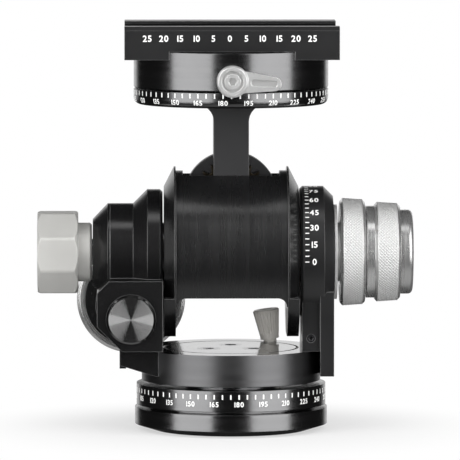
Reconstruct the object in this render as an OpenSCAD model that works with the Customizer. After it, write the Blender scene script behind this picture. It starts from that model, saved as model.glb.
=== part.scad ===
// Geared tripod head: pan base, geared drum tilting between two arms, geared side tilt
// and a panning dovetail clamp on top. Millimetres, front is -Y, the tripod screw enters at the origin.

/* [Pan base] */
// Radius of the base's lower ring
base_r = 29.5; // [28:0.5:34]
// Height of the lower ring
base_h = 7; // [6:0.5:10]
// Radius of the flat face underneath
foot_r = 23.5; // [18:0.5:26]
// Height of the bevel underneath
foot_bevel = 1.9; // [1:0.1:3]
// Height of the groove under the dial ring
base_groove = 0.9; // [0.5:0.1:1.5]
// Outer radius of the pan dial ring
dial_r = 29; // [28:0.5:33]
// Height of the pan dial ring
dial_h = 6.4; // [6:0.2:9]
// Radial thickness of the pan dial ring
dial_t = 3.2; // [2.4:0.2:4]
// Radius of the tripod thread
thread_r = 4.7625; // [3.175:0.0125:4.7625]
// Outer radius of the threaded insert
insert_r = 7; // [6.4:0.2:9]
// Thickness of the retainer ring
retainer_t = 2.6; // [2:0.2:3.4]
// Thickness of the spindle's flange
spindle_flange_t = 2.2; // [1.6:0.2:3]
// Radius of the spindle's neck
spindle_r = 14; // [11:0.5:16]
// Thickness of the thrust washer
washer_t = 0.8; // [0.5:0.1:1.2]

/* [Turntable] */
// Radius of the turntable
table_r = 27.4; // [26:0.2:30]
// Thickness of the turntable
table_h = 9.7; // [8:0.1:13]
// Gap between the dial ring and the turntable
table_gap = 1; // [0.5:0.1:2]
// Radius of the ring groove in the deck
deck_groove_r = 20; // [17:0.5:24]
// Place of the pan lock across the deck
pan_lock_x = 12.5; // [9:0.5:14]
// Distance from the turntable's rear edge to the pan lock
pan_lock_inset = 7.2; // [6.9:0.1:8]
// Lean of the pan lock's axis in degrees
pan_lock_lean = 8; // [0:1:10]
// Radius of the pan lock knob's top
pan_knob_r = 4.1; // [3:0.1:4.4]
// Height of the pan lock knob
pan_knob_h = 10; // [7:0.5:11]

/* [Drum] */
// Height of the pitch axis above the deck
pitch_rise = 29.4; // [28.6:0.1:34]
// Radius of the drum
drum_r = 25; // [24:0.2:26]
// Depth of the drum's flat below the pitch axis
drum_flat = 12.5; // [11:0.5:15]
// Corner radius of the window under the drum
window_r = 2.8; // [1:0.1:4]
// Wall between the drum's pocket and its ends
drum_wall = 2.2; // [1.6:0.1:4]
// Height of the cheek's lip over the drum
cheek_lip = 1.3; // [0.6:0.1:1.6]
// Thickness of a cheek
cheek_t = 3.6; // [3:0.1:5]
// Radius of the cheek's outer face
cheek_face_r = 20.2; // [18:0.2:23]
// Clearance between cheek and arm
side_gap = 0.4; // [0.3:0.1:1]
// Depth of the cheek's foot below the pitch axis
cheek_foot = 25.4; // [20:0.2:25.6]

/* [Arms] */
// Radius of the right arm's round head
head_r = 20.2; // [17:0.2:23]
// Chamfer of the head's outer edge
head_chamfer = 3; // [1:0.2:5]
// Thickness of the arm's skirt outside the turntable
skirt_t = 3.8; // [3.4:0.1:6]
// Depth of the skirt below the deck
skirt_drop = 7.5; // [6.4:0.1:8.5]
// Width of the arm's outer plate
arm_plate_w = 32; // [26:1:36]
// Width of the arm's inner post
arm_post_w = 28; // [24:1:32]
// Radius of the trunnions
trunnion_r = 9; // [8:0.1:9.6]
// Wall of the pitch bushes
bush_wall = 2; // [1.2:0.1:2.6]

/* [Gear housing] */
// Radius of the housing's inner ring
ring_r = 19.3; // [18:0.1:22]
// Width of the housing's inner ring
ring_w = 4.7; // [4:0.1:6]
// Wall of the housing round the pitch wheel
housing_wall = 1.3; // [1:0.1:2.5]
// Distance from the housing's inner face to the wheel's middle
wheel_u = 9.7; // [9.4:0.1:12]
// Length of the housing cover's cone
cover_cone = 4.6; // [3:0.1:7]
// Radius of the housing cover's end
cover_end_r = 10.2; // [9.2:0.2:12]
// Half width of the worm box
box_half = 10.3; // [9.8:0.1:13]
// Front face of the worm box from the pitch axis
box_front = 25; // [22:0.5:28]
// Rear face of the worm box from the pitch axis
box_rear = 24; // [20:0.5:28]
// Length of the bearing boss behind the worm box
boss_len = 19.5; // [14:0.5:26]
// Radius of the bearing boss
boss_r = 11; // [9.5:0.1:13]

/* [Gears] */
// Teeth of the two wheels
teeth = 24; // [18:1:30]
// Pitch radius of the pitch wheel
wheel_r = 12.5; // [12:0.1:13]
// Mean radius of the pitch worm
pitch_worm_r = 6; // [5.5:0.1:6.4]
// Pitch radius of the roll gear
gear_r = 11.6; // [11:0.1:12.2]
// Mean radius of the roll worm
roll_worm_r = 4.5; // [4.4:0.1:5]
// Half depth of the worm threads
thread_e = 0.9; // [0.7:0.05:1]
// Width of the wheels
wheel_w = 6; // [5:0.2:7]
// Length of the worm threads
worm_len = 13; // [10:0.5:15]
// Radius of the worm shafts
shaft_r = 3.4; // [2.8:0.1:3.5]

/* [Knobs] */
// Radius of the right knob's inner ring
roll_knob_r = 16.5; // [15:0.1:18]
// Radius of the rear knob's inner ring
pitch_knob_r = 17; // [16:0.1:20]
// Length of a release collar
collar_len = 7.7; // [7:0.1:9]
// Length of the groove between the knob rings
knob_groove = 2.9; // [2:0.1:4]
// Length of a fine knob's ring
ring_len = 7.8; // [6:0.1:10]
// Length of a knob's end cap
cap_len = 3.9; // [2.5:0.1:5]
// Distance across the flats of the lock knob
lock_knob_d = 24.6; // [22:0.2:28]
// Rounding of the lock knob's corners
lock_corner_r = 1.5; // [0.5:0.1:3]
// Length of the lock knob
lock_knob_len = 12.4; // [10:0.2:15]
// Radius of the lock knob's hub
lock_hub_r = 9; // [7:0.2:10]
// Length of the lock knob's hub
lock_hub_len = 4.2; // [3:0.1:6]

/* [Stem] */
// Width of the neck
neck_w = 10.75; // [9:0.25:13]
// Height of the neck's top above the roll axis
neck_rise = 29.5; // [26:0.5:36]
// Radius of the flare at the neck's top
flare_r = 5.2; // [3:0.1:6]
// Front of the stem from the roll gear's middle
stem_front = 7; // [6.6:0.1:8]
// Back of the stem from the roll gear's middle
stem_back = 8; // [7.4:0.1:9]
// Lip of the stem's dome round the roll gear
dome_lip = 2.4; // [1.4:0.1:3]
// Radius of the roll pin
pin_r = 3; // [2.4:0.1:3.6]

/* [Clamp] */
// Radius of the clamp's dial and drum
clamp_r = 29.8; // [28:0.2:33]
// Height of the clamp's dial
clamp_dial_h = 4.7; // [3.5:0.1:6]
// Height of the clamp's drum
clamp_drum_h = 12; // [11.5:0.1:15]
// Length of the clamp's jaws
jaw_len = 65.2; // [61:0.2:80]
// Width of the dovetail at the channel's floor
dovetail_w = 38.6; // [38.2:0.1:39]
// Depth of the dovetail channel
channel_h = 4.2; // [3.8:0.1:5]
// Undercut of a jaw
undercut = 2.7; // [2.2:0.1:3]
// Thickness of the plate under the channel
plate_t = 3.3; // [2.8:0.1:5]
// Thickness of the front jaw at the floor
jaw_t = 3.7; // [3:0.1:6]
// Drop of the jaw ends beside the drum
jaw_drop = 2.6; // [1:0.1:3]
// Thickness of the moving jaw's bar
bar_t = 8.7; // [7:0.1:11]
// Depth of the relief grooves beside the channel's floor
relief_h = 0.5; // [0.3:0.1:1]
// Radius of the clamp knob
clamp_knob_r = 9; // [7:0.2:10]
// Length of the clamp knob
clamp_knob_len = 12; // [8:0.5:16]
// Radius of the lever's hub
lever_hub_r = 4.8; // [4.4:0.1:5.6]
// Length of the lever's arm
lever_len = 12.6; // [9:0.2:18]
// Thickness of the lever
lever_t = 4; // [3:0.1:5]

/* [Fits] */
// Clearance between pieces that move past each other
run_gap = 0.3; // [0.25:0.05:0.4]
// Radial clearance of a shaft that turns in its hole
fit = 0.05; // [0.02:0.01:0.1]
// Radial clearance of a piece seated in its hole
seat = 0.02; // [0.01:0.01:0.04]

/* [Hidden] */
$fn = 96;
cut = 1;
edge = 0.8;
fine_edge = 0.4;
weld = 0.01;

// Pan base heights
insert_sink = 0.2;
insert_len = base_h - insert_sink;
floor_z = base_h;
base_top = base_h + base_groove + dial_h;
post_r = dial_r - dial_t - seat;
post_wall = 1.6;
cavity_r = post_r - post_wall;
ledge_w = 4;
flange_r = cavity_r - ledge_w - run_gap;
ledge_z = floor_z + run_gap + spindle_flange_t + run_gap + washer_t;
base_screw_r = 1.1;
base_screw_head_r = 1.8;
base_screw_head_h = 1.2;
base_screw_pcr = cavity_r - ledge_w / 2;
base_screw_depth = 2.6;

// Turntable
table_z = base_top + table_gap;
deck_z = table_z + table_h;
table_screw_r = 2;
table_screw_head_r = 3.5;
table_screw_head_h = 3;
table_screw_pcr = 8;
table_screw_depth = 4;
deck_groove_w = 0.8;
deck_groove_d = 0.4;
arm_screw_r = 1.5;
arm_screw_head_r = 2.6;
arm_screw_head_h = 2;
arm_screw_y = 4.5;
arm_screw_depth = 7;
arm_screw_cover = 0.9;
arm_screw_z = deck_z - arm_screw_head_r - arm_screw_cover;
pan_lock_y = table_r - pan_lock_inset;
pan_shank_r = 2;
pan_collar_r = 2.9;
pan_collar_h = 1;
pan_knob_lift = 0.8;
pan_knob_flare = 1.1;
shoe_t = 1.6;
shoe_z = -(table_h + table_gap - run_gap) / cos(pan_lock_lean) + pan_shank_r * sin(pan_lock_lean);

// Gears: pitch of the teeth along the worms, and how deep they reach
gear_play = 0.4;
worm_sides = 18;
pitch_lead = 2 * PI * wheel_r / teeth;
roll_lead = 2 * PI * gear_r / teeth;
pitch_c = wheel_r + pitch_worm_r;
roll_c = gear_r + roll_worm_r;
wheel_tip = wheel_r + thread_e - gear_play;
gear_tip = gear_r + thread_e - gear_play;
pitch_worm_room = 0.6;
pitch_worm_bore = pitch_worm_r + thread_e + pitch_worm_room;
roll_worm_bore = roll_worm_r + thread_e + gear_play;

// Heights of the axes
pitch_z = deck_z + pitch_rise;
roll_z = pitch_z + roll_c;
pitch_worm_z = pitch_z - pitch_c;

// Places across the head
dome_r = gear_tip + dome_lip;
pocket_r = dome_r + run_gap;
drum_half = pocket_r + drum_wall;
cheek_x = drum_half + cheek_t;
arm_x = cheek_x + side_gap;
arm_out = table_r + skirt_t;
plate_seat = 0.4;
plate_x = table_r - plate_seat;
post_inset = 0.5;
post_x = arm_x + post_inset;
set_screw_inset = 3.2;
set_screw_x = arm_x + set_screw_inset;
set_screw_rise = 4;
set_screw_z = deck_z + set_screw_rise;
set_screw_r = 1.3;
set_screw_len = 6;
set_screw_sink = 0.2;
set_screw_key_r = 0.7;
set_screw_key_depth = 1.2;
wheel_x = -arm_x - wheel_u;
bush_r = trunnion_r + bush_wall;
cheek_r = drum_r + cheek_lip;
cheek_rim = 0.5;
trunnion_step = 0.4;
worm_end_gap = 1;
worm_bush_x = sqrt(pow(pocket_r, 2) - pow(roll_c - roll_worm_bore, 2)) + run_gap;
cheek_screw_r = 1.5;
cheek_screw_head_r = 2.5;
cheek_screw_head_h = 1.6;
cheek_screw_depth = 4;
cheek_screw_y = 15;
cheek_screw_low = 7;
cheek_screw_high = 6;
cheek_screw_z = [-cheek_screw_low, cheek_screw_high];

// Gear housing, measured to the left from its inner face
wheel_room = 0.7;
wheel_cavity_r = wheel_tip + wheel_room;
barrel_r = wheel_cavity_r + housing_wall;
wheel_side_gap = 1;
cavity_u0 = wheel_u - wheel_w / 2 - wheel_side_gap;
worm_side = sqrt(pow(pitch_worm_r + thread_e + run_gap, 2) - pow(pitch_c - wheel_cavity_r, 2));
worm_side_gap = 0.1;
cavity_u1 = wheel_u + worm_side + worm_side_gap;
cover_spigot = 0.9;
cover_u0 = cavity_u1 + cover_spigot;
cover_rim = 0.7;
cover_u1 = cover_u0 + cover_rim;
cover_u2 = cover_u1 + cover_cone;
slope_inset = 0.7;
slope_u = wheel_u - slope_inset;
pad_r = 8;
pad_gap = 0.1;
pad_room = 1;
pad_u = cover_u0 + pad_room;
lock_shank_r = 4;
hub_step = 2;
hub_r_left = trunnion_r - hub_step;
box_x1 = -arm_x;
box_above = 11.5;
box_top = pitch_worm_z + box_above;
box_below = 9.9;
box_bottom = pitch_worm_z - box_below;
foot_reach = 6.8;
foot_out = table_r + foot_reach;
foot_side_drop = 4;
foot_side_z = deck_z - foot_side_drop;
foot_low_z = deck_z - skirt_drop;
foot_toe = 2;
box_chamfer = 3.6;
box_low_chamfer = 7.6;
cap_t = 2;
cap_seat = 1;
cap_edge = 0.6;
front_bush_len = 5;
rear_bush_len = 6;
front_bush_y = -box_front + cap_t + cap_seat;
rear_bush_gap = 6;
rear_bush_y = worm_len / 2 + rear_bush_gap;
rear_bush_wall = 2.4;
rear_bush_r = shaft_r + rear_bush_wall;
boss_end = box_rear + boss_len;

// Knob sets, measured outward from the face they stand on
sleeve_flange_t = 0.9;
sleeve_inset = 0.5;
sleeve_flange_inset = 2;
sleeve_flange_r = roll_knob_r - sleeve_flange_inset;
collar_gap = 0.9;
collar_z0 = run_gap + sleeve_flange_t + collar_gap;
collar_z1 = collar_z0 + collar_len;
fine_z0 = collar_z1 + run_gap;
fine_z1 = fine_z0 + knob_groove - run_gap;
fine_z2 = fine_z1 + ring_len;
cap_z = fine_z2 + cap_len;
cap_depth = 2.5;
shaft_end = fine_z2 - cap_depth;
knob_taper = 0.4;
ring_step = 1.2;
groove_step = 2.4;
cap_step = 3.6;
cap_rim = 1.2;
cap_round = 1.4;
collar_rim = 1;
collar_dish = 1.5;
spring_wire_r = 0.5;
spring_turns = 3;
spring_reach = 2.2;
spring_r = trunnion_r + spring_reach;
spring_inset = 2;
spring_z0 = collar_z0 + spring_inset;
spring_z1 = collar_z1 - spring_inset;
spring_gap = 0.6;
spring_room = spring_wire_r + spring_gap;
lock_sides = 8;
lock_chamfer = 1;
lock_hub_edge = 0.6;
lock_web = 3;
lock_out = (lock_knob_d / 2 - lock_corner_r) / cos(180 / lock_sides) + lock_corner_r;
lock_u0 = cover_u2 + run_gap;
lock_u1 = lock_u0 + lock_hub_len;
lock_u2 = lock_u1 + lock_knob_len;

// Stem
neck_top = roll_z + neck_rise;
stem_gap = 0.1;
gear_half = wheel_w / 2;
neck_gap = 0.5;
neck_base = roll_z + gear_tip + neck_gap;
eye_wall = 4;
eye_r = pin_r + eye_wall;
dome_cut = 2;
pin_front = 14;
pin_back = 15;
gear_screw_r = 1.2;
gear_screw_wall = 1;
gear_screw_end = 3;
gear_screw_pcr = pin_r + gear_screw_r + gear_screw_wall;

// Clamp heights
clamp_z = neck_top;
dial_top = clamp_z + clamp_dial_h;
cdrum_z = dial_top + run_gap;
cdrum_top = cdrum_z + clamp_drum_h;
floor_top = cdrum_top + plate_t;
jaw_top = floor_top + channel_h;
clamp_spindle_r = 12;
clamp_flange_r = 15;
clamp_flange_t = 2.4;
clamp_flange_sink = 1.4;
clamp_flange_z = cdrum_top - clamp_flange_t - clamp_flange_sink;
spindle_bolt_r = 3;
spindle_bolt_head_r = 5;
spindle_bolt_head_h = 4;
spindle_bolt_depth = 12;
channel_half = dovetail_w / 2;
lip_half = channel_half - undercut;
front_y = -channel_half - jaw_t;
bar_y0 = channel_half + run_gap;
bar_y1 = bar_y0 + bar_t;
skirt_reach = 6;
skirt_y1 = clamp_r + skirt_reach;
clamp_screw_drop = 4;
clamp_screw_z = cdrum_top - clamp_screw_drop;
clamp_screw_r = 3;
skirt_half = 16;
skirt_below = 5;
skirt_z0 = clamp_screw_z - skirt_below;
skirt_step = 3;
skirt_bevel = 2;
guide_x = 11;
guide_r = 1.5;
guide_wall = 3;
guide_y0 = clamp_flange_r + guide_wall;
screw_wall = 1;
screw_y0 = clamp_flange_r + run_gap + screw_wall;
jaw_chamfer = 1.2;
lip_t = 0.8;
relief_inset = 0.2;
relief_y = lip_half - relief_inset;
knob_neck_len = 2;
knob_neck_r = clamp_knob_r * 0.7;
knob_web = 2;
clamp_dial_round = 2;
plate_screw_x = 22;
plate_screw_y = 9;
plate_screw_r = 1.5;
plate_screw_head_r = 2.7;
plate_screw_head_h = 1.7;
plate_screw_depth = 6;
lever_rise = 3.4;
lever_z = cdrum_z + lever_rise;
lever_gap = 0.6;
lever_y = clamp_r + lever_gap;
lever_tip_r = 2.1;
lever_root_r = 3.7;
lever_tilt = 3.5;
lever_step = 0.9;
lever_relief = 0.3;
lever_chamfer = 0.5;
lever_well_r = 3.3;
lever_well_d = 1;
lever_shank_r = 3;
lever_screw_r = 1.4;
lever_screw_head_r = 2.4;
lever_screw_head_h = 2;
lever_screw_depth = 5;
lever_slot_inset = 1.7;
lever_slot_x = lever_hub_r + lever_slot_inset;
lever_slot_r = 1;
lever_slot_d = 0.8;
brake_t = 1.6;
brake_reach = 2;
brake_bore = clamp_spindle_r - brake_reach;

// Points of an arc about c, from angle a0 to a1
function arc(c, r, a0, a1, n = 8) =
  [for (i = [0:n]) let (a = a0 + (a1 - a0) * i / n) [c[0] + r * cos(a), c[1] + r * sin(a)]];

// Solid turned about Z from points [height, radius]
module turned(points) rotate_extrude() polygon([for (p = points) [p[1], p[0]]]);

// Frames: local +Z points along the named direction
module to_right(x, z) translate([x, 0, z]) rotate([0, 90, 0]) children();
module to_left(x, z) translate([x, 0, z]) rotate([0, -90, 0]) children();
module to_back(x, y, z) translate([x, y, z]) rotate([-90, 0, 0]) children();

// Profile in X and Z, extruded from y0 to y1
module along_y(y0, y1) translate([0, y1, 0]) rotate([90, 0, 0]) linear_extrude(y1 - y0) children();

// Profile in Y and Z, extruded from x0 to x1
module along_x(x0, x1) translate([x0, 0, 0]) rotate([90, 0, 90]) linear_extrude(x1 - x0) children();

// Ring from z0 to z1
module ring(z0, z1, r_out, r_in) turned([[z0, r_in], [z0, r_out], [z1, r_out], [z1, r_in]]);

// Plain round bar from z0 to z1
module bar(z0, z1, r) translate([0, 0, z0]) cylinder(r = r, h = z1 - z0);

// Socket screw: head top at z = 0, shank pointing down
module socket_screw(r, length, head_r, head_h) {
  difference() {
    union() {
      bar(-head_h, 0, head_r);
      bar(-length, -head_h + weld, r);
    }
    bar(-head_h * 0.6, cut, head_r * 0.55, $fn = 6);
  }
}

// Room for a socket screw: its head is sunk level with z = 0
module screw_room(r, length, head_r, head_h) {
  bar(-head_h, cut, head_r + seat);
  bar(-length - seat, cut, r + seat);
}

// Toothed wheel outline with tooth flanks drawn from root to tip
module tooth_outline(r, c, worm_r) {
  root = c - worm_r - thread_e - gear_play;
  tip = r + thread_e - gear_play;
  step = 360 / teeth;
  half_root = step * 0.33;
  half_tip = step * 0.07;
  polygon([for (i = [0:teeth - 1], k = [0:3])
    let (a = -90 + step * i + [-half_root, -half_tip, half_tip, half_root][k])
    (k == 0 || k == 3 ? root : tip) * [cos(a), sin(a)]]);
}

// Worm thread about Z, valley towards the angle of "valley" at its middle
module worm_thread(r, lead, valley) {
  turns = worm_len / lead;
  rotate(valley + 180 - 180 * turns)
    translate([0, 0, -worm_len / 2])
      linear_extrude(worm_len, twist = -360 * turns, slices = round(turns * 16), $fn = worm_sides)
        translate([thread_e, 0]) circle(r, $fn = worm_sides);
}

// Coil spring about Z as one swept tube
module coil(r, wire_r, z0, z1, turns) {
  sides = 6;
  rings = turns * 14;
  points = [for (i = [0:rings], k = [0:sides - 1])
    let (a = 360 * turns * i / rings, b = 360 * k / sides, q = r + wire_r * cos(b))
    [q * cos(a), q * sin(a), z0 + (z1 - z0) * i / rings + wire_r * sin(b)]];
  walls = [for (i = [0:rings - 1], k = [0:sides - 1], h = [0, 1])
    let (m = (k + 1) % sides, p = i * sides, q = p + sides)
    h == 0 ? [p + k, q + k, q + m] : [p + k, q + m, p + m]];
  first = [for (k = [1:sides - 2]) [0, k, k + 1]];
  last = [for (k = [1:sides - 2]) [rings * sides, rings * sides + k + 1, rings * sides + k]];
  polyhedron(points, concat(walls, first, last));
}

// Space taken by the turntable, cut out of what clasps it
module table_room() bar(table_z - 4, deck_z, table_r + seat);

// Places of the repeated screws
module at_base_screws() for (i = [0:3]) rotate(45 + 90 * i)
  translate([base_screw_pcr, 0, ledge_z + retainer_t]) children();
module at_table_screws() for (i = [0:2]) rotate(90 + 120 * i) translate([table_screw_pcr, 0, deck_z]) children();
module at_arm_screws(side) for (y = [-arm_screw_y, arm_screw_y])
  translate([side > 0 ? arm_out : -foot_out, y, arm_screw_z]) rotate([0, side > 0 ? 90 : -90, 0]) children();
module at_cheek_screws(side) for (y = [-cheek_screw_y, cheek_screw_y], z = cheek_screw_z)
  translate([side * cheek_x, y, pitch_z + z]) rotate([0, side * 90, 0]) children();
module at_plate_screws() for (x = [-plate_screw_x, plate_screw_x], y = [-plate_screw_y, plate_screw_y])
  translate([x, y, floor_top]) children();
module at_gear_screws() for (a = [0, 180]) translate([0, stem_back, roll_z]) rotate([-90, 0, 0])
  rotate(a) translate([gear_screw_pcr, 0, 0]) children();
module on_pan_lock() translate([pan_lock_x, pan_lock_y, deck_z]) rotate([0, -pan_lock_lean, 0]) children();
module on_roll_knob() to_right(arm_out, pitch_z) children();
module on_pitch_knob() to_back(wheel_x, boss_end, pitch_worm_z) children();

// Pan base

module base_body() color([0.06, 0.06, 0.07]) difference() {
  turned([
    [0, 0], [0, foot_r], [foot_bevel, base_r], [base_h, base_r], [base_h, post_r],
    [base_top, post_r], [base_top, cavity_r], [ledge_z, cavity_r], [ledge_z, flange_r + run_gap],
    [floor_z, flange_r + run_gap], [floor_z, 0]
  ]);
  bar(-cut, floor_z + cut, insert_r + seat);
  at_base_screws() screw_room(base_screw_r, retainer_t + base_screw_depth, base_screw_head_r, base_screw_head_h);
}

module thread_insert() color([0.75, 0.7, 0.5]) ring(0, insert_len, insert_r, thread_r);

module pan_dial_ring() color([0.08, 0.08, 0.09])
  ring(base_h + base_groove, base_top, dial_r, post_r + seat);

module pan_retainer() color([0.6, 0.6, 0.62]) difference() {
  ring(ledge_z, ledge_z + retainer_t, cavity_r - seat, spindle_r + fit);
  at_base_screws() screw_room(base_screw_r, retainer_t + base_screw_depth, base_screw_head_r, base_screw_head_h);
}

module retainer_screws() color([0.3, 0.3, 0.32])
  at_base_screws() socket_screw(base_screw_r, retainer_t + base_screw_depth, base_screw_head_r, base_screw_head_h);

module pan_thrust_washer() color([0.9, 0.9, 0.86])
  ring(ledge_z - washer_t, ledge_z, flange_r, spindle_r + run_gap);

// Turntable and what it carries

module turntable() color([0.55, 0.55, 0.56]) difference() {
  bar(table_z, deck_z, table_r);
  ring(deck_z - deck_groove_d, deck_z + cut, deck_groove_r + deck_groove_w, deck_groove_r);
  at_table_screws()
    screw_room(table_screw_r, table_h + table_screw_depth, table_screw_head_r, table_screw_head_h);
  at_arm_screws(1) bar(-skirt_t - arm_screw_depth - seat, cut, arm_screw_r + seat);
  at_arm_screws(-1) bar(table_r - foot_out - arm_screw_depth - seat, cut, arm_screw_r + seat);
  on_pan_lock() bar(-2 * table_h, table_h, pan_shank_r + fit);
}

module pan_spindle() color([0.7, 0.7, 0.72]) difference() {
  union() {
    bar(floor_z + run_gap, floor_z + run_gap + spindle_flange_t, flange_r);
    bar(floor_z + run_gap, table_z, spindle_r);
  }
  at_table_screws() bar(-table_h - table_screw_depth - seat, cut, table_screw_r + seat);
}

module spindle_screws() color([0.3, 0.3, 0.32])
  at_table_screws()
    socket_screw(table_screw_r, table_h + table_screw_depth, table_screw_head_r, table_screw_head_h);

module pan_brake_shoe() color([0.75, 0.6, 0.3]) on_pan_lock()
  bar(shoe_z, shoe_z + shoe_t, pan_shank_r);

module pan_lock_knob() color([0.6, 0.58, 0.54]) on_pan_lock() turned([
  [shoe_z + shoe_t + run_gap, 0], [shoe_z + shoe_t + run_gap, pan_shank_r],
  [pan_knob_lift, pan_shank_r], [pan_knob_lift, pan_collar_r], [pan_knob_lift + pan_collar_h, pan_collar_r],
  [pan_knob_lift + pan_collar_h + run_gap, pan_knob_r - pan_knob_flare], [pan_knob_h - fine_edge, pan_knob_r],
  [pan_knob_h, pan_knob_r - fine_edge], [pan_knob_h, 0]
]);

module right_arm() color([0.08, 0.08, 0.09]) difference() {
  union() {
    to_right(arm_x, pitch_z) turned([
      [0, 0], [0, head_r - edge], [edge, head_r], [arm_out - arm_x - head_chamfer, head_r],
      [arm_out - arm_x, head_r - head_chamfer], [arm_out - arm_x, 0]
    ]);
    translate([post_x, -arm_post_w / 2, deck_z]) cube([plate_x - arm_x, arm_post_w, pitch_rise]);
    translate([plate_x, -arm_plate_w / 2, deck_z - skirt_drop])
      cube([arm_out - plate_x, arm_plate_w, pitch_rise + skirt_drop - head_r * 0.55]);
  }
  to_right(arm_x, pitch_z) bar(-cut, arm_out - arm_x + cut, bush_r + seat);
  table_room();
  at_arm_screws(1) screw_room(arm_screw_r, skirt_t + arm_screw_depth, arm_screw_head_r, arm_screw_head_h);
  to_back(set_screw_x, -arm_post_w / 2, set_screw_z) bar(-cut, set_screw_len, set_screw_r + seat);
}

module arm_set_screw() color([0.2, 0.2, 0.22])
  to_back(set_screw_x, -arm_post_w / 2, set_screw_z) difference() {
    bar(set_screw_sink, set_screw_len, set_screw_r);
    bar(0, set_screw_sink + set_screw_key_depth, set_screw_key_r, $fn = 6);
  }

module gear_housing() color([0.07, 0.07, 0.08]) difference() {
  union() {
    to_left(-arm_x, pitch_z) turned([
      [0, 0], [0, ring_r - edge], [edge, ring_r], [ring_w, ring_r], [slope_u, barrel_r], [cover_u0, barrel_r],
      [cover_u0, 0]
    ]);
    along_y(-box_front, box_rear) polygon([
      [box_x1, box_bottom], [box_x1, box_top], [wheel_x - box_half + box_chamfer, box_top],
      [wheel_x - box_half, box_top - box_chamfer], [wheel_x - box_half, box_bottom + box_low_chamfer],
      [wheel_x - box_half + box_low_chamfer, box_bottom]
    ]);
    along_y(-arm_plate_w / 2, arm_plate_w / 2) polygon([
      [-foot_out, box_bottom + cut], [-foot_out, foot_side_z], [-arm_x - foot_toe, foot_low_z],
      [-arm_x, foot_low_z], [-arm_x, box_bottom + cut]
    ]);
    to_back(wheel_x, box_rear - cut, pitch_worm_z) bar(0, boss_len + cut, boss_r);
  }
  to_left(-arm_x, pitch_z) {
    bar(-cut, cavity_u0 + cut, bush_r + seat);
    bar(cavity_u0, cover_u0 + cut, wheel_cavity_r);
    bar(cover_u0, cover_u2 + cut, barrel_r + seat);
  }
  to_back(wheel_x, 0, pitch_worm_z) {
    bar(-box_front - cut, rear_bush_y, pitch_worm_bore);
    bar(0, rear_bush_y + rear_bush_len, rear_bush_r + seat);
    bar(0, boss_end + cut, shaft_r + run_gap);
  }
  table_room();
  at_arm_screws(-1) screw_room(arm_screw_r, foot_out, arm_screw_head_r, arm_screw_head_h);
}

module housing_cover() color([0.07, 0.07, 0.08]) to_left(-arm_x, pitch_z) turned([
  [cavity_u1, pad_r + fit], [cavity_u1, wheel_cavity_r - seat], [cover_u0, wheel_cavity_r - seat],
  [cover_u0, barrel_r], [cover_u1, barrel_r], [cover_u2, cover_end_r], [cover_u2, lock_shank_r + fit],
  [pad_u, lock_shank_r + fit], [pad_u, pad_r + fit]
]);

module arm_screws() color([0.25, 0.25, 0.27]) {
  at_arm_screws(1) socket_screw(arm_screw_r, skirt_t + arm_screw_depth, arm_screw_head_r, arm_screw_head_h);
  at_arm_screws(-1)
    socket_screw(arm_screw_r, foot_out - table_r + arm_screw_depth, arm_screw_head_r, arm_screw_head_h);
}

module right_bush() color([0.72, 0.55, 0.28])
  to_right(arm_x, pitch_z) ring(0, arm_out - arm_x, bush_r, trunnion_r + fit);

module left_bush() color([0.72, 0.55, 0.28])
  to_left(-arm_x, pitch_z) ring(0, cavity_u0, bush_r, trunnion_r + fit);

module worm_cap() color([0.3, 0.3, 0.31]) to_back(wheel_x, -box_front, pitch_worm_z) turned([
  [-cap_t, 0], [-cap_t, pitch_worm_bore - cap_edge], [-cap_t + cap_edge, pitch_worm_bore], [0, pitch_worm_bore],
  [0, pitch_worm_bore - seat], [cap_t + cap_seat, pitch_worm_bore - seat], [cap_t + cap_seat, 0]
]);

module pitch_worm_bushes() color([0.72, 0.55, 0.28]) to_back(wheel_x, 0, pitch_worm_z) {
  ring(front_bush_y, front_bush_y + front_bush_len, pitch_worm_bore - seat, shaft_r + fit);
  ring(rear_bush_y, rear_bush_y + rear_bush_len, rear_bush_r, shaft_r + fit);
}

module pitch_brake_pad() color([0.5, 0.3, 0.2])
  to_left(-arm_x, pitch_z) bar(cavity_u1 + pad_gap, pad_u - pad_gap, pad_r);

// Fixed sleeve of a knob set: the bright flange and the tube that the collar turns on
module knob_sleeve() turned([
  [run_gap, shaft_r + fit], [run_gap, sleeve_flange_r], [run_gap + sleeve_flange_t, sleeve_flange_r],
  [run_gap + sleeve_flange_t, trunnion_r], [collar_z1, trunnion_r], [collar_z1, shaft_r + fit]
]);

module rear_sleeve() color([0.8, 0.8, 0.8]) on_pitch_knob() {
  knob_sleeve();
  ring(0, run_gap + weld, boss_r - sleeve_inset, shaft_r + fit);
}

// Release collar: the inner knurled ring with room for its spring
module release_collar(r) turned([
  [collar_z0, trunnion_r + fit], [collar_z0 + edge, sleeve_flange_r - collar_dish], [collar_z0, r - collar_rim],
  [collar_z0 + edge, r], [collar_z1 - edge, r - knob_taper], [collar_z1, r - knob_taper - edge],
  [collar_z1, trunnion_r + fit], [spring_z1 + spring_room, trunnion_r + fit],
  [spring_z1 + spring_room, spring_r + spring_room], [spring_z0 - spring_room, spring_r + spring_room],
  [spring_z0 - spring_room, trunnion_r + fit]
]);

// Fine knob: neck, knurled ring and a recess for the end cap
module fine_knob(r) turned([
  [fine_z0, shaft_r + seat], [fine_z0, r - groove_step], [fine_z1, r - groove_step],
  [fine_z1, r - ring_step - edge], [fine_z1 + edge, r - ring_step], [fine_z2 - edge, r - ring_step - knob_taper],
  [fine_z2, r - ring_step - knob_taper - edge], [fine_z2, r - cap_step - cap_rim],
  [shaft_end, r - cap_step - cap_rim], [shaft_end, shaft_r + seat]
]);

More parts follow.
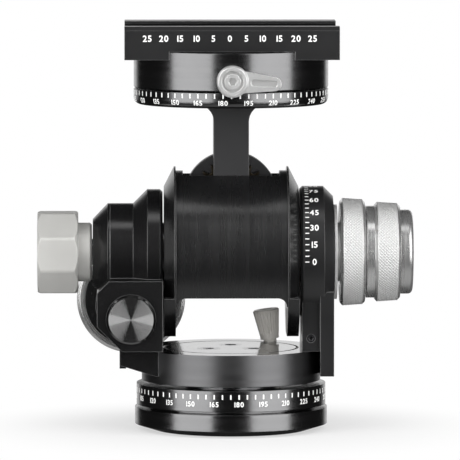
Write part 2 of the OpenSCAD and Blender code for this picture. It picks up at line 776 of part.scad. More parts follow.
// Domed cap that closes a fine knob
module knob_cap(r) turned(concat(
  [[shaft_end, 0], [shaft_end, r - cap_step - cap_rim - seat], [fine_z2, r - cap_step - cap_rim - seat],
   [fine_z2, r - cap_step], [cap_z - cap_round, r - cap_step]],
  arc([cap_z - cap_round, r - cap_step - cap_round], cap_round, 90, 0, 6),
  [[cap_z, 0]]
));

module pitch_release_spring() color([0.7, 0.7, 0.7]) on_pitch_knob()
  coil(spring_r, spring_wire_r, spring_z0, spring_z1, spring_turns);
module pitch_release_collar() color([0.8, 0.8, 0.8]) on_pitch_knob() release_collar(pitch_knob_r);
module pitch_fine_knob() color([0.8, 0.8, 0.8]) on_pitch_knob() fine_knob(pitch_knob_r);
module pitch_knob_cap() color([0.8, 0.8, 0.8]) on_pitch_knob() knob_cap(pitch_knob_r);

module roll_release_spring() color([0.7, 0.7, 0.7]) on_roll_knob()
  coil(spring_r, spring_wire_r, spring_z0, spring_z1, spring_turns);
module roll_release_collar() color([0.8, 0.8, 0.8]) on_roll_knob() release_collar(roll_knob_r);
module roll_fine_knob() color([0.8, 0.8, 0.8]) on_roll_knob() fine_knob(roll_knob_r);
module roll_knob_cap() color([0.8, 0.8, 0.8]) on_roll_knob() knob_cap(roll_knob_r);

// Eight-sided outline with one flat to the front and rounded corners
module lock_outline() rotate(180 / lock_sides) offset(r = lock_corner_r, $fn = 48)
  circle((lock_knob_d / 2 - lock_corner_r) / cos(180 / lock_sides), $fn = lock_sides);

module pitch_lock_knob() color([0.8, 0.8, 0.78]) to_left(-arm_x, pitch_z) difference() {
  union() {
    turned([
      [lock_u0, 0], [lock_u0, lock_hub_r - lock_hub_edge], [lock_u0 + lock_hub_edge, lock_hub_r],
      [lock_u1 + cut, lock_hub_r], [lock_u1 + cut, 0]
    ]);
    intersection() {
      translate([0, 0, lock_u1]) linear_extrude(lock_knob_len) lock_outline();
      turned([
        [lock_u1, 0], [lock_u1, lock_out - lock_chamfer], [lock_u1 + lock_chamfer, lock_out],
        [lock_u2 - lock_chamfer, lock_out], [lock_u2, lock_out - lock_chamfer], [lock_u2, 0]
      ]);
    }
  }
  bar(lock_u0 - cut, lock_u2 - lock_web, lock_shank_r + seat);
}

module pitch_lock_screw() color([0.7, 0.7, 0.7])
  to_left(-arm_x, pitch_z) bar(pad_u + pad_gap, lock_u2 - lock_web, lock_shank_r);

module pitch_worm() color([0.65, 0.65, 0.67]) to_back(wheel_x, 0, pitch_worm_z) {
  worm_thread(pitch_worm_r, pitch_lead, -90);
  bar(front_bush_y + run_gap, boss_end + shaft_end, shaft_r);
}

// Drum and what tilts with it

module window_outline() {
  side = drum_half - run_gap;
  low = drum_flat + window_r;
  translate([-drum_half - cut, -2 * drum_r]) square([2 * drum_half + 2 * cut, 2 * drum_r - low]);
  translate([-side + window_r, -low - cut]) square([2 * (side - window_r), window_r + cut]);
  for (s = [-1, 1]) translate([s * (side - window_r), -low]) circle(window_r);
}

module drum() color([0.07, 0.07, 0.08]) difference() {
  to_right(-drum_half, pitch_z) bar(0, 2 * drum_half, drum_r);
  translate([0, 0, pitch_z]) along_y(-drum_r - cut, drum_r + cut) window_outline();
  to_back(0, 0, roll_z) bar(-stem_front - run_gap, stem_back + run_gap, pocket_r);
  translate([-pocket_r, -stem_front - run_gap, roll_z])
    cube([2 * pocket_r, stem_front + stem_back + 2 * run_gap, drum_r]);
  to_right(-drum_half - cut, pitch_z) bar(0, 2 * drum_half + 2 * cut, roll_worm_bore);
  to_back(0, 0, roll_z) bar(-pin_front - seat, drum_r, pin_r + seat);
  for (s = [-1, 1]) at_cheek_screws(s) bar(-cheek_t - cheek_screw_depth - seat, cut, cheek_screw_r + seat);
}

// Right cheek; the left one is its mirror image
module cheek() difference() {
  union() {
    to_right(drum_half, pitch_z) turned([
      [0, 0], [0, cheek_r], [cheek_rim, cheek_r], [cheek_t, cheek_face_r], [cheek_t, 0]
    ]);
    intersection() {
      to_right(drum_half, pitch_z) bar(0, cheek_t, cheek_r);
      translate([0, -2 * drum_r, pitch_z - 2 * drum_r]) cube([2 * drum_r, 4 * drum_r, 2 * drum_r - drum_flat]);
    }
  }
  translate([0, -2 * drum_r, pitch_z - 2 * drum_r]) cube([2 * drum_r, 4 * drum_r, 2 * drum_r - cheek_foot]);
  to_right(0, pitch_z) bar(0, 2 * drum_r, trunnion_r + seat);
  at_cheek_screws(1) screw_room(cheek_screw_r, 2 * cheek_t, cheek_screw_head_r, cheek_screw_head_h);
}

module right_cheek() color([0.09, 0.09, 0.1]) cheek();
module left_cheek() color([0.09, 0.09, 0.1]) mirror([1, 0, 0]) cheek();

module cheek_screws() color([0.25, 0.25, 0.27]) for (s = [-1, 1]) at_cheek_screws(s)
  socket_screw(cheek_screw_r, cheek_t + cheek_screw_depth, cheek_screw_head_r, cheek_screw_head_h);

module left_trunnion() color([0.7, 0.7, 0.72]) to_left(-drum_half, pitch_z) {
  start = cheek_t + side_gap;
  turned([
    [0, 0], [0, trunnion_r], [start + cavity_u0 + trunnion_step, trunnion_r],
    [start + cavity_u0 + trunnion_step, hub_r_left],
    [start + wheel_u + wheel_w / 2, hub_r_left], [start + wheel_u + wheel_w / 2, 0]
  ]);
}

module pitch_wheel() color([0.8, 0.62, 0.3]) difference() {
  along_x(wheel_x - wheel_w / 2, wheel_x + wheel_w / 2)
    translate([0, pitch_z]) tooth_outline(wheel_r, pitch_c, pitch_worm_r);
  to_right(wheel_x - wheel_w, pitch_z) bar(0, 2 * wheel_w, hub_r_left + seat);
}

module right_trunnion() color([0.8, 0.8, 0.8]) {
  on_roll_knob() knob_sleeve();
  to_right(drum_half, pitch_z) ring(0, arm_out + run_gap + weld - drum_half, trunnion_r, shaft_r + fit);
}

module roll_pin() color([0.7, 0.7, 0.72]) to_back(0, 0, roll_z) bar(-pin_front, pin_back, pin_r);

module roll_worm_bushes() color([0.72, 0.55, 0.28]) for (s = [-1, 1]) mirror([s > 0 ? 0 : 1, 0, 0])
  to_right(worm_bush_x, pitch_z) ring(0, drum_half - worm_bush_x, roll_worm_bore - seat, shaft_r + fit);

module roll_worm() color([0.65, 0.65, 0.67]) to_right(0, pitch_z) {
  worm_thread(roll_worm_r, roll_lead, 180);
  bar(-drum_half + worm_end_gap, arm_out + shaft_end, shaft_r);
}

// Stem and what rolls with it

module stem_outline() {
  w = neck_w / 2;
  polygon(concat(
    [[-w, neck_base], [w, neck_base]],
    arc([w + flare_r, neck_top - flare_r], flare_r, 180, 90),
    arc([-w - flare_r, neck_top - flare_r], flare_r, 90, 0)
  ));
}

module stem() color([0.2, 0.2, 0.21]) difference() {
  union() {
    along_y(-stem_front, stem_back) stem_outline();
    along_y(-stem_front, -gear_half - stem_gap) {
      translate([-neck_w / 2, roll_z]) square([neck_w, neck_base - roll_z + cut]);
      translate([0, roll_z]) circle(eye_r);
    }
    difference() {
      to_back(0, 0, roll_z) bar(gear_half + stem_gap, stem_back, dome_r);
      translate([-2 * dome_r, -2 * dome_r, roll_z - dome_cut - 2 * dome_r]) cube([4 * dome_r, 4 * dome_r, 2 * dome_r]);
    }
    to_back(0, 0, roll_z) bar(gear_half + stem_gap, stem_back, eye_r);
  }
  to_back(0, 0, roll_z) bar(-2 * stem_front, 2 * stem_back, pin_r + fit);
  at_gear_screws() bar(-stem_back - stem_front, cut, gear_screw_r + seat);
  bar(neck_top - spindle_bolt_depth - seat, neck_top + cut, spindle_bolt_r + seat);
}

module roll_gear() color([0.8, 0.62, 0.3]) difference() {
  along_y(-gear_half, gear_half) translate([0, roll_z]) tooth_outline(gear_r, roll_c, roll_worm_r);
  to_back(0, 0, roll_z) bar(-wheel_w, wheel_w, pin_r + fit);
  at_gear_screws() bar(-2 * stem_back, cut, gear_screw_r + seat);
}

module roll_gear_screws() color([0.3, 0.3, 0.32])
  at_gear_screws() bar(-stem_back - gear_half - gear_screw_end, 0, gear_screw_r);

module clamp_dial() color([0.07, 0.07, 0.08]) turned(concat(
  [[clamp_z, spindle_bolt_r + seat]],
  arc([clamp_z + clamp_dial_round, clamp_r - clamp_dial_round], clamp_dial_round, 180, 90, 6),
  [[dial_top, clamp_r], [dial_top, spindle_bolt_r + seat]]
));

module clamp_spindle() color([0.7, 0.7, 0.72]) difference() {
  union() {
    bar(dial_top, clamp_flange_z + weld, clamp_spindle_r);
    bar(clamp_flange_z, clamp_flange_z + clamp_flange_t, clamp_flange_r);
  }
  bar(dial_top - cut, cdrum_top, spindle_bolt_r + seat);
  bar(clamp_flange_z + clamp_flange_t - spindle_bolt_head_h, cdrum_top, spindle_bolt_head_r + seat);
}

module clamp_spindle_bolt() color([0.3, 0.3, 0.32]) translate([0, 0, clamp_flange_z + clamp_flange_t])
  socket_screw(spindle_bolt_r, clamp_flange_z + clamp_flange_t - neck_top + spindle_bolt_depth,
               spindle_bolt_head_r, spindle_bolt_head_h);

// Clamp body that pans on the stem

module clamp_drum() color([0.06, 0.06, 0.07]) difference() {
  turned([
    [cdrum_z, clamp_spindle_r + fit], [cdrum_z, clamp_r - fine_edge], [cdrum_z + fine_edge, clamp_r],
    [cdrum_top - fine_edge, clamp_r], [cdrum_top, clamp_r - fine_edge], [cdrum_top, clamp_flange_r + run_gap],
    [clamp_flange_z - run_gap, clamp_flange_r + run_gap], [clamp_flange_z - run_gap, clamp_spindle_r + fit]
  ]);
  to_back(0, 0, lever_z) bar(-clamp_r - cut, -brake_bore, lever_shank_r + fit);
  to_back(0, 0, clamp_screw_z) bar(screw_y0 - fine_edge, clamp_r + cut, clamp_screw_r + fit);
  for (s = [-1, 1]) to_back(s * guide_x, 0, clamp_screw_z) bar(guide_y0, clamp_r + cut, guide_r + seat);
  at_plate_screws() bar(-plate_t - plate_screw_depth - seat, cut, plate_screw_r + seat);
}

// Space of the clamp's drum below a jaw
module drum_room(gap) bar(cdrum_z, cdrum_top + gap, clamp_r + gap + seat);

module clamp_plate() color([0.06, 0.06, 0.07]) difference() {
  along_x(-jaw_len / 2, jaw_len / 2) polygon([
    [front_y, cdrum_top - jaw_drop], [front_y, jaw_top - jaw_chamfer], [front_y + jaw_chamfer, jaw_top],
    [-lip_half, jaw_top], [-lip_half, jaw_top - lip_t], [-channel_half, jaw_top - lip_t - undercut],
    [-channel_half, floor_top - relief_h], [-relief_y, floor_top - relief_h], [-relief_y, floor_top],
    [relief_y, floor_top], [relief_y, floor_top - relief_h], [channel_half, floor_top - relief_h],
    [channel_half, cdrum_top - jaw_drop]
  ]);
  drum_room(0);
  at_plate_screws() screw_room(plate_screw_r, plate_t + plate_screw_depth, plate_screw_head_r, plate_screw_head_h);
}

module plate_screws() color([0.25, 0.25, 0.27]) at_plate_screws()
  socket_screw(plate_screw_r, plate_t + plate_screw_depth, plate_screw_head_r, plate_screw_head_h);

module clamp_brake_shoe() color([0.75, 0.6, 0.3]) to_back(0, 0, lever_z)
  bar(-clamp_spindle_r - run_gap - brake_t, -clamp_spindle_r - run_gap, lever_shank_r);

module jaw_guide_pins() color([0.7, 0.7, 0.72]) for (s = [-1, 1]) to_back(s * guide_x, 0, clamp_screw_z)
  bar(guide_y0, skirt_y1, guide_r);

module clamp_jaw() color([0.06, 0.06, 0.07]) difference() {
  union() {
    along_x(-jaw_len / 2, jaw_len / 2) polygon([
      [bar_y0, cdrum_top - jaw_drop], [bar_y0, floor_top], [channel_half, floor_top],
      [channel_half, jaw_top - lip_t - undercut], [lip_half, jaw_top - lip_t], [lip_half, jaw_top],
      [bar_y1 - jaw_chamfer, jaw_top], [bar_y1, jaw_top - jaw_chamfer], [bar_y1, cdrum_top - jaw_drop]
    ]);
    along_x(-skirt_half, skirt_half) polygon([
      [bar_y1 - cut, jaw_top - skirt_step], [skirt_y1 - skirt_bevel, jaw_top - skirt_step],
      [skirt_y1, jaw_top - skirt_step - skirt_bevel], [skirt_y1, skirt_z0], [bar_y1 - cut, skirt_z0]
    ]);
  }
  drum_room(run_gap);
  to_back(0, 0, clamp_screw_z) bar(bar_y0, skirt_y1 + cut, clamp_screw_r + fit);
  for (s = [-1, 1]) to_back(s * guide_x, 0, clamp_screw_z) bar(bar_y0, skirt_y1 + cut, guide_r + fit);
}

module clamp_screw() color([0.7, 0.7, 0.72]) to_back(0, 0, clamp_screw_z)
  bar(screw_y0, skirt_y1 + clamp_knob_len - knob_web, clamp_screw_r);

module clamp_knob() color([0.8, 0.8, 0.8]) to_back(0, skirt_y1 + run_gap, clamp_screw_z) difference() {
  turned([
    [0, 0], [0, knob_neck_r], [knob_neck_len, knob_neck_r], [knob_neck_len, clamp_knob_r - edge],
    [knob_neck_len + edge, clamp_knob_r], [clamp_knob_len - edge, clamp_knob_r],
    [clamp_knob_len, clamp_knob_r - edge], [clamp_knob_len, 0]
  ]);
  bar(-cut, clamp_knob_len - knob_web - run_gap + weld, clamp_screw_r + seat);
}

// Lever arm's outline about its axis: round root inside the hub, tapered arm to the right, round tip
module lever_outline() {
  a = acos((lever_root_r - lever_tip_r) / lever_len);
  circle(lever_root_r);
  translate([lever_len, 0]) circle(lever_tip_r);
  polygon([
    lever_root_r * [cos(a), sin(a)], [lever_len + lever_tip_r * cos(a), lever_tip_r * sin(a)],
    [lever_len + lever_tip_r * cos(a), -lever_tip_r * sin(a)], lever_root_r * [cos(a), -sin(a)], [0, 0]
  ]);
}

module clamp_lever() color([0.82, 0.82, 0.82]) difference() {
  union() {
    to_back(0, 0, lever_z) turned([
      [-lever_y - lever_t, 0], [-lever_y - lever_t, lever_hub_r - lever_chamfer],
      [-lever_y - lever_t + lever_chamfer, lever_hub_r], [-lever_y, lever_hub_r], [-lever_y, 0]
    ]);
    translate([0, 0, lever_z]) along_y(-lever_y - lever_t + lever_step, -lever_y - lever_relief)
      rotate(-lever_tilt) lever_outline();
    to_back(0, 0, lever_z) bar(-lever_y + seat, -clamp_spindle_r - brake_t - 2 * run_gap, lever_shank_r);
  }
  translate([0, 0, lever_z])
    along_y(-lever_y - lever_t - cut, -lever_y - lever_t + lever_step + lever_slot_d) rotate(-lever_tilt) {
    translate([lever_slot_x, -lever_slot_r]) square([lever_len - lever_slot_x, 2 * lever_slot_r]);
    for (x = [lever_slot_x, lever_len]) translate([x, 0]) circle(lever_slot_r);
  }
  to_back(0, -lever_y - lever_t, lever_z) rotate([180, 0, 0])
    screw_room(lever_screw_r, lever_t + lever_screw_depth, lever_screw_head_r, lever_screw_head_h);
  to_back(0, 0, lever_z) bar(-lever_y - lever_t - cut, -lever_y - lever_t + lever_well_d, lever_well_r);
}

module lever_screw() color([0.6, 0.6, 0.6]) to_back(0, -lever_y - lever_t, lever_z) rotate([180, 0, 0])
  socket_screw(lever_screw_r, lever_t + lever_screw_depth, lever_screw_head_r, lever_screw_head_h);

base_body();
thread_insert();
pan_dial_ring();
pan_retainer();
retainer_screws();
pan_thrust_washer();
turntable();
pan_spindle();
spindle_screws();
pan_brake_shoe();
pan_lock_knob();
right_arm();
arm_set_screw();
gear_housing();
housing_cover();
arm_screws();
right_bush();
left_bush();
worm_cap();
pitch_worm_bushes();
pitch_brake_pad();
rear_sleeve();
pitch_lock_knob();
pitch_lock_screw();
pitch_worm();
pitch_release_spring();
pitch_release_collar();
pitch_fine_knob();
pitch_knob_cap();
drum();
left_cheek();
right_cheek();
cheek_screws();
left_trunnion();
pitch_wheel();
right_trunnion();
roll_pin();
roll_worm_bushes();
roll_worm();
roll_release_spring();
roll_release_collar();
roll_fine_knob();
roll_knob_cap();
stem();
roll_gear();
roll_gear_screws();
clamp_dial();
clamp_spindle();
clamp_spindle_bolt();
clamp_drum();
clamp_plate();
plate_screws();
clamp_brake_shoe();
jaw_guide_pins();
clamp_jaw();
clamp_screw();
clamp_knob();
clamp_lever();
lever_screw();
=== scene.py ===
"""Finishes, knurling, scales and studio of a geared tripod head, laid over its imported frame."""

import math

import bmesh
import bpy
import numpy as np
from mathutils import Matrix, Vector


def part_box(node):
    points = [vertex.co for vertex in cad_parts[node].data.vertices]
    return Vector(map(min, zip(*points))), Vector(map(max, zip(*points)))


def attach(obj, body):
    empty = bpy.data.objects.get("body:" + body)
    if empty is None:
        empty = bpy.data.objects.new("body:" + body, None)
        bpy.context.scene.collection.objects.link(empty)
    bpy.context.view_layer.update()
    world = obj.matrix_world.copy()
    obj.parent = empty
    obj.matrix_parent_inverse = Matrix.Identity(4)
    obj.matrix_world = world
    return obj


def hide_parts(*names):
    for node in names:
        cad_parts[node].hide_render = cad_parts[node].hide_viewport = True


bl_info = {
    "name": "Geared tripod head",
    "version": (1, 0, 0),
    "blender": (4, 5, 0),
    "location": "3D View > Sidebar > Tripod head",
    "description": "Knurled knobs, engraved scales, metal finishes and studio of a geared tripod head",
    "category": "Object",
}

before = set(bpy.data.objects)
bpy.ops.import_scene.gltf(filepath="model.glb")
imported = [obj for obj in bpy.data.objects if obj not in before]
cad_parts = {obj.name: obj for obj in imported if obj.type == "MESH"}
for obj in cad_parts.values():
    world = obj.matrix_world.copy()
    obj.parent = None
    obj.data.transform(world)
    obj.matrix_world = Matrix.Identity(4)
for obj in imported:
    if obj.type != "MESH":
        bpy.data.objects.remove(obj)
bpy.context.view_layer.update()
MM = 0.001
AXES = {"X": 0, "Y": 1, "Z": 2}
TURN = 2 * math.pi
# Radius in metres that counts as on the axis, and angle in degrees below which edges are shaded smooth
ON_AXIS, SMOOTH_BELOW = 1e-9, 38
# Waves a metre of the tint's clouds, of the lathe's coarse marks and of the finest grain
CLOUDS, MARKS, GRAIN = 70, 900, 5200
# Shares by which the clouds move a finish's tint and its roughness
TINT_SPREAD, ROUGH_SPREAD = 0.14, 0.1
# Lathe lines: weight of the coarse marks beside the grain, and how far they move the roughness
COARSE_WEIGHT, COARSE_ROUGH = 0.4, 0.12
# Knurled bands: how much rougher and less metallic they are than the turned rest, and their tone
BAND_ROUGH, BAND_DULL, BAND_TONE = 0.12, 0.28, 0.87
# Faced top: share of the roughness that it loses, and the depths below the top where that begins and ends
TOP_POLISH, TOP_FROM, TOP_TO = 0.72, 0.2 * MM, 0.1 * MM
# Lighter edges, partly rubbed-through wear and partly a painted highlight: share of the clouds in them, and
# the bend of the surface where they begin and are full
RUB_SHEEN_CLOUDS, RUB_SHEEN_FROM, RUB_SHEEN_TO = 0.05, 0.04, 0.26
# Knurl: radius that the knurl count is for, share of a diamond's height where its top is cut flat, length
# over which the knurl fades out at a band's ends, rows along a band and steps round one diamond
KNURL_RADIUS, KNURL_FLAT, KNURL_FADE, KNURL_ROWS, KNURL_STEPS = 15.3 * MM, 0.75, 0.25 * MM, 53, 8
# Knobs: taper of a knurled band, width of its chamfers, and small steps that keep their edges crisp
KNOB_TAPER, KNOB_EDGE, NICK, LIP = 0.4 * MM, 0.8 * MM, 0.02 * MM, 0.05 * MM
# Thickness of the solids that the scale marks are made of
MARK_DEPTH = 0.1 * MM


def middle(node, axis):
    """Middle of a node's box along one axis, in metres."""
    low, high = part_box(node)
    return (low[AXES[axis]] + high[AXES[axis]]) / 2


PITCH_Z = middle("roll_knob_cap", "Z")
WORM_X, WORM_Z = middle("pitch_knob_cap", "X"), middle("pitch_knob_cap", "Z")


# Properties that a user would change


def length(name, description, default):
    return bpy.props.FloatProperty(
        name=name, description=description, default=default, unit="LENGTH", precision=5
    )


def share(name, description, default):
    return bpy.props.FloatProperty(
        name=name, description=description, default=default, min=0, max=1, subtype="FACTOR"
    )


def colour(name, description, default):
    return bpy.props.FloatVectorProperty(
        name=name, description=description, default=default, min=0, max=1, size=3, subtype="COLOR"
    )


def angle(name, description, degrees):
    return bpy.props.FloatProperty(
        name=name, description=description, default=math.radians(degrees), unit="ROTATION"
    )


def count(name, description, default):
    return bpy.props.IntProperty(name=name, description=description, default=default, min=1)


class HeadColours(bpy.types.PropertyGroup):
    """Colours of the head's finishes."""

    black: colour("Black", "Blasted black anodising", (0.012, 0.012, 0.0124))
    satin: colour("Satin black", "Glossier black of the turned parts", (0.005, 0.005, 0.0052))
    drum: colour("Drum black", "Brushed black of the drum", (0.007, 0.007, 0.0073))
    gloss: colour("Gloss black", "Turned bright black of the rings", (0.17, 0.17, 0.172))
    neck: colour("Neck grey", "Blasted dark grey of the stem", (0.022, 0.022, 0.023))
    deck: colour("Deck grey", "Grey anodising of the turntable", (0.14, 0.14, 0.143))
    silver: colour("Silver", "Bright anodising of the knobs", (0.74, 0.74, 0.735))
    warm_silver: colour("Warm silver", "Blasted aluminium of the lock knob", (0.56, 0.556, 0.535))
    thumb: colour("Thumb screw", "Warm grey of the pan lock", (0.78, 0.755, 0.71))
    knob_cap: colour("Knob cap", "Faced aluminium of the fine knobs' caps", (0.58, 0.58, 0.575))
    cap: colour("Cap grey", "Faced grey of the worm's end cap", (0.24, 0.24, 0.24))
    dark_steel: colour("Dark steel", "Blackened screws", (0.08, 0.08, 0.085))
    steel: colour("Steel", "Ground steel shafts", (0.55, 0.55, 0.56))
    brass: colour("Brass", "Gears, bushes and brake shoes", (0.66, 0.47, 0.21))
    # Painted shade: the side tilt's brass gear is coloured nearly black for its place in shade in the drum's
    # slot
    bronze: colour("Brass in painted shade", "Darkened brass of the side tilt's gear", (0.05, 0.041, 0.028))
    washer: colour("Washer", "Pale sliding plastic", (0.78, 0.77, 0.72))
    lining: colour("Lining", "Brown brake lining", (0.2, 0.11, 0.07))
    paint: colour("Scale paint", "White filling of the engraved scales", (0.86, 0.86, 0.85))


class HeadSizes(bpy.types.PropertyGroup):
    """Sizes of the details that are added to the frame."""

    knurl_depth: length("Knurl depth", "Depth of the diamond knurl", 0.24 * MM)
    knurl_count: count("Knurl count", "Diamonds round a fine knob", 96)
    serration_depth: length("Serration depth", "Depth of the thumb screw's grooves", 0.28 * MM)
    serration_count: count("Serration count", "Grooves round the thumb screw", 26)
    thumb_lean: angle("Thumb screw lean", "Lean of the pan lock's thumb screw to the left", 8)
    ring_pitch: length("Cap ring pitch", "Step between the turned rings of the worm's end cap", 0.32 * MM)
    ring_depth: length("Cap ring depth", "Depth of the turned rings", 0.05 * MM)
    edge_round: length("Edge rounding", "Radius that edges are shaded with", 0.3 * MM)
    paint_height: length("Paint height", "How far the scale paint stands proud", 0.02 * MM)
    tick_width: length("Tick width", "Width of a scale tick", 0.42 * MM)
    tick_length: length("Tick length", "Length of a dial tick", 1.4 * MM)
    digit_height: length("Digit height", "Height of the dial numbers", 1.55 * MM)
    jaw_digit_height: length("Jaw digit height", "Height of the jaw's numbers", 1.9 * MM)
    pan_dial_turn: angle("Pan dial turn", "Turn of the pan dial's scale from the front", 4)
    clamp_dial_turn: angle("Clamp dial turn", "Turn of the clamp dial's scale from the front", -5.5)
    tilt_turn: angle("Tilt scale turn", "Turn of the tilt scale's zero below the front", 4.3)
    jaw_scale_shift: length("Jaw scale shift", "Place of the jaw scale's zero across the jaw", -0.7 * MM)


class HeadStudio(bpy.types.PropertyGroup):
    """Camera, lamps and floor."""

    camera_distance: length("Camera distance", "Distance from the head's axis", 1.9)
    camera_height: length("Camera height", "Eye level above the base", 0.2088)
    camera_x: length("Camera across", "Place of the eye across the head", -0.03)
    aim_x: length("Aim across", "Middle of the view across the head", -0.0003)
    aim_height: length("Aim height", "Middle of the view above the base", 0.0611)
    view_width: length("View width", "Width seen at the head's axis", 0.1411)
    lamp_distance: length("Lamp distance", "Distance of the soft boxes", 1.2)
    lamp_turn: angle("Lamp turn", "Turn of the soft boxes from the camera", 48)
    lamp_width: length("Lamp width", "Width of a soft box", 1.3)
    lamp_height: length("Lamp height", "Height of a soft box", 1.7)
    lamp_rise: length("Lamp rise", "Height of a soft box's middle above the base", 0.45)
    lamp_power: bpy.props.FloatProperty(
        name="Lamp power", description="Power of a soft box", default=18, min=0, unit="POWER"
    )
    top_power: bpy.props.FloatProperty(
        name="Top power", description="Power of the top lamp", default=0.8, min=0, unit="POWER"
    )
    front_power: bpy.props.FloatProperty(
        name="Front power", description="Power of the lamp by the camera", default=10, min=0, unit="POWER"
    )
    fill: share("Fill", "Level of the room's light", 0.32)
    below: share("Below", "Level of the pale floor in reflections", 0.3)
    front: share("Front", "Level of the dark room in reflections", 0.025)
    floor: colour("Floor", "Pale floor", (0.85, 0.85, 0.85))


# Surfaces worked out as whole arrays


def put_mesh(name, points, faces, finish):
    """Makes a mesh object at the origin from points and faces, with smooth shading and sharp edges."""
    mesh = bpy.data.meshes.new(name)
    mesh.from_pydata(points.tolist(), [], faces)
    mesh.polygons.foreach_set("use_smooth", np.ones(len(mesh.polygons), bool))
    mesh.set_sharp_from_angle(angle=math.radians(SMOOTH_BELOW))
    mesh.materials.append(finish)
    mesh.update()
    made = bpy.data.objects.new(name, mesh)
    bpy.context.scene.collection.objects.link(made)
    return made


def outward(points, faces):
    """Turns the faces of a closed surface outward: the sum of a . (b x c) over its triangles is positive."""
    first = np.array([f[:3] for f in faces])
    a, b, c = points[first[:, 0]], points[first[:, 1]], points[first[:, 2]]
    volume = np.einsum("ij,ij->", a, np.cross(b, c))
    quads = np.array([f for f in faces if len(f) == 4])
    if len(quads):
        a, b, c = points[quads[:, 0]], points[quads[:, 2]], points[quads[:, 3]]
        volume += np.einsum("ij,ij->", a, np.cross(b, c))
    return faces if volume > 0 else [f[::-1] for f in faces]


def place_turned(along, radius, theta, axis, centre):
    """Point of a turned surface: centre + along the axis + radius (cos theta, sin theta) across it."""
    k = AXES[axis]
    across = [(k + 1) % 3, (k + 2) % 3]
    points = np.zeros(np.broadcast(along, radius, theta).shape + (3,))
    points[..., k] = along
    points[..., across[0]] = radius * np.cos(theta)
    points[..., across[1]] = radius * np.sin(theta)
    return points + np.array(centre)


def turned_piece(name, profile, axis, centre, finish, segments, relief=None, stand=None):
    """Carries a profile of (along, radius) rows round an axis.

    A profile whose ends lie on the axis is closed by a pole at each end, any other is a closed loop.
    relief(along, theta) is taken off the radius; stand moves the points to where the piece stands.
    """
    profile = np.array(profile)
    poles = profile[0, 1] < ON_AXIS and profile[-1, 1] < ON_AXIS
    rows = profile[1:-1] if poles else profile
    theta = np.arange(segments) * TURN / segments
    along, radius = rows[:, :1], rows[:, 1:]
    cut = relief(along, theta[None, :]) if relief else 0
    points = place_turned(along, radius - cut, theta[None, :], axis, centre).reshape(-1, 3)
    n, m = len(rows), segments
    i, j = np.meshgrid(np.arange(n - 1 if poles else n), np.arange(m), indexing="ij")
    ahead, next_j = (i + 1) % n, (j + 1) % m
    quads = np.stack([i * m + j, ahead * m + j, ahead * m + next_j, i * m + next_j], -1)
    faces = quads.reshape(-1, 4).tolist()
    if poles:
        ends = place_turned(profile[[0, -1], 0], 0, 0, axis, centre)
        points = np.vstack([points, ends])
        ring, following = np.arange(m), (np.arange(m) + 1) % m
        low, high, last = np.full(m, n * m), np.full(m, n * m + 1), (n - 1) * m
        faces += np.stack([low, ring, following], -1).tolist()
        faces += np.stack([high, last + following, last + ring], -1).tolist()
    points = stand(points) if stand else points
    return put_mesh(name, points, outward(points, faces), finish)


def band_rows(start, end, radius_start, radius_end, rows):
    """Evenly spaced (along, radius) rows of a straight band."""
    t = np.linspace(0, 1, rows)
    return np.stack([start + (end - start) * t, radius_start + (radius_end - radius_start) * t], -1)


def round_rows(centre, radius, first, last, rows):
    """Rows of an arc about (along, radius) from one angle to another, in degrees from the axis direction."""
    a = np.radians(np.linspace(first, last, rows))
    return np.stack([centre[0] + radius * np.cos(a), centre[1] + radius * np.sin(a)], -1)


def triangle_wave(x):
    """Wave from 0 at whole numbers to 1 half way between them."""
    return 1 - np.abs(2 * (x - np.floor(x)) - 1)


def diamond_relief(start, end, number, pitch, depth, fade):
    """Diamond knurl: grooves where either of two crossing triangle waves falls to nought.

    The grooves fade out at the band's ends.
    """

    def relief(along, theta):
        u, v = number * theta / TURN, (along - start) / pitch
        ridge = np.minimum(triangle_wave(u + v), triangle_wave(u - v))
        edge = np.clip(np.minimum(along - start, end - along) / fade, 0, 1)
        return depth * (1 - np.clip(ridge / KNURL_FLAT, 0, 1)) * edge * (along >= start) * (along <= end)

    return relief


def serration_relief(start, end, number, depth, fade):
    """Straight knurl: a triangle wave round the piece, fading out at the band's ends."""

    def relief(along, theta):
        edge = np.clip(np.minimum(along - start, end - along) / fade, 0, 1)
        return depth * (1 - triangle_wave(number * theta / TURN)) * edge * (along >= start) * (along <= end)

    return relief


# Scales


def glyphs(height, depth):
    """Solid digits of that height as (points, faces, width), from the built-in font made a mesh.

    Each is cut across at even heights, so that long strokes can follow a rounded edge.
    """
    made = {}
    share_of_size, swell, cuts = 0.72, 0.025, 6
    levels = np.linspace(0, height, cuts + 2)[1:-1]
    for digit in "0123456789":
        text = bpy.data.curves.new("digit", "FONT")
        text.body, text.size, text.extrude, text.resolution_u = digit, height / share_of_size, depth / 2, 3
        text.offset = swell * height
        holder = bpy.data.objects.new("digit", text)
        bpy.context.scene.collection.objects.link(holder)
        graph = bpy.context.evaluated_depsgraph_get()
        mesh = bpy.data.meshes.new_from_object(holder.evaluated_get(graph))
        cut = bmesh.new()
        cut.from_mesh(mesh)
        for level in levels:
            whole = [*cut.verts, *cut.edges, *cut.faces]
            bmesh.ops.bisect_plane(cut, geom=whole, plane_co=(0, level, 0), plane_no=(0, 1, 0))
        cut.to_mesh(mesh)
        cut.free()
        points = np.zeros(len(mesh.vertices) * 3)
        mesh.vertices.foreach_get("co", points)
        points = points.reshape(-1, 3)
        low = points.min(0)
        points -= [low[0], low[1], 0]
        made[digit] = (points, [list(p.vertices) for p in mesh.polygons], points[:, 0].max())
        bpy.data.objects.remove(holder)
        bpy.data.curves.remove(text)
        bpy.data.meshes.remove(mesh)
    return made


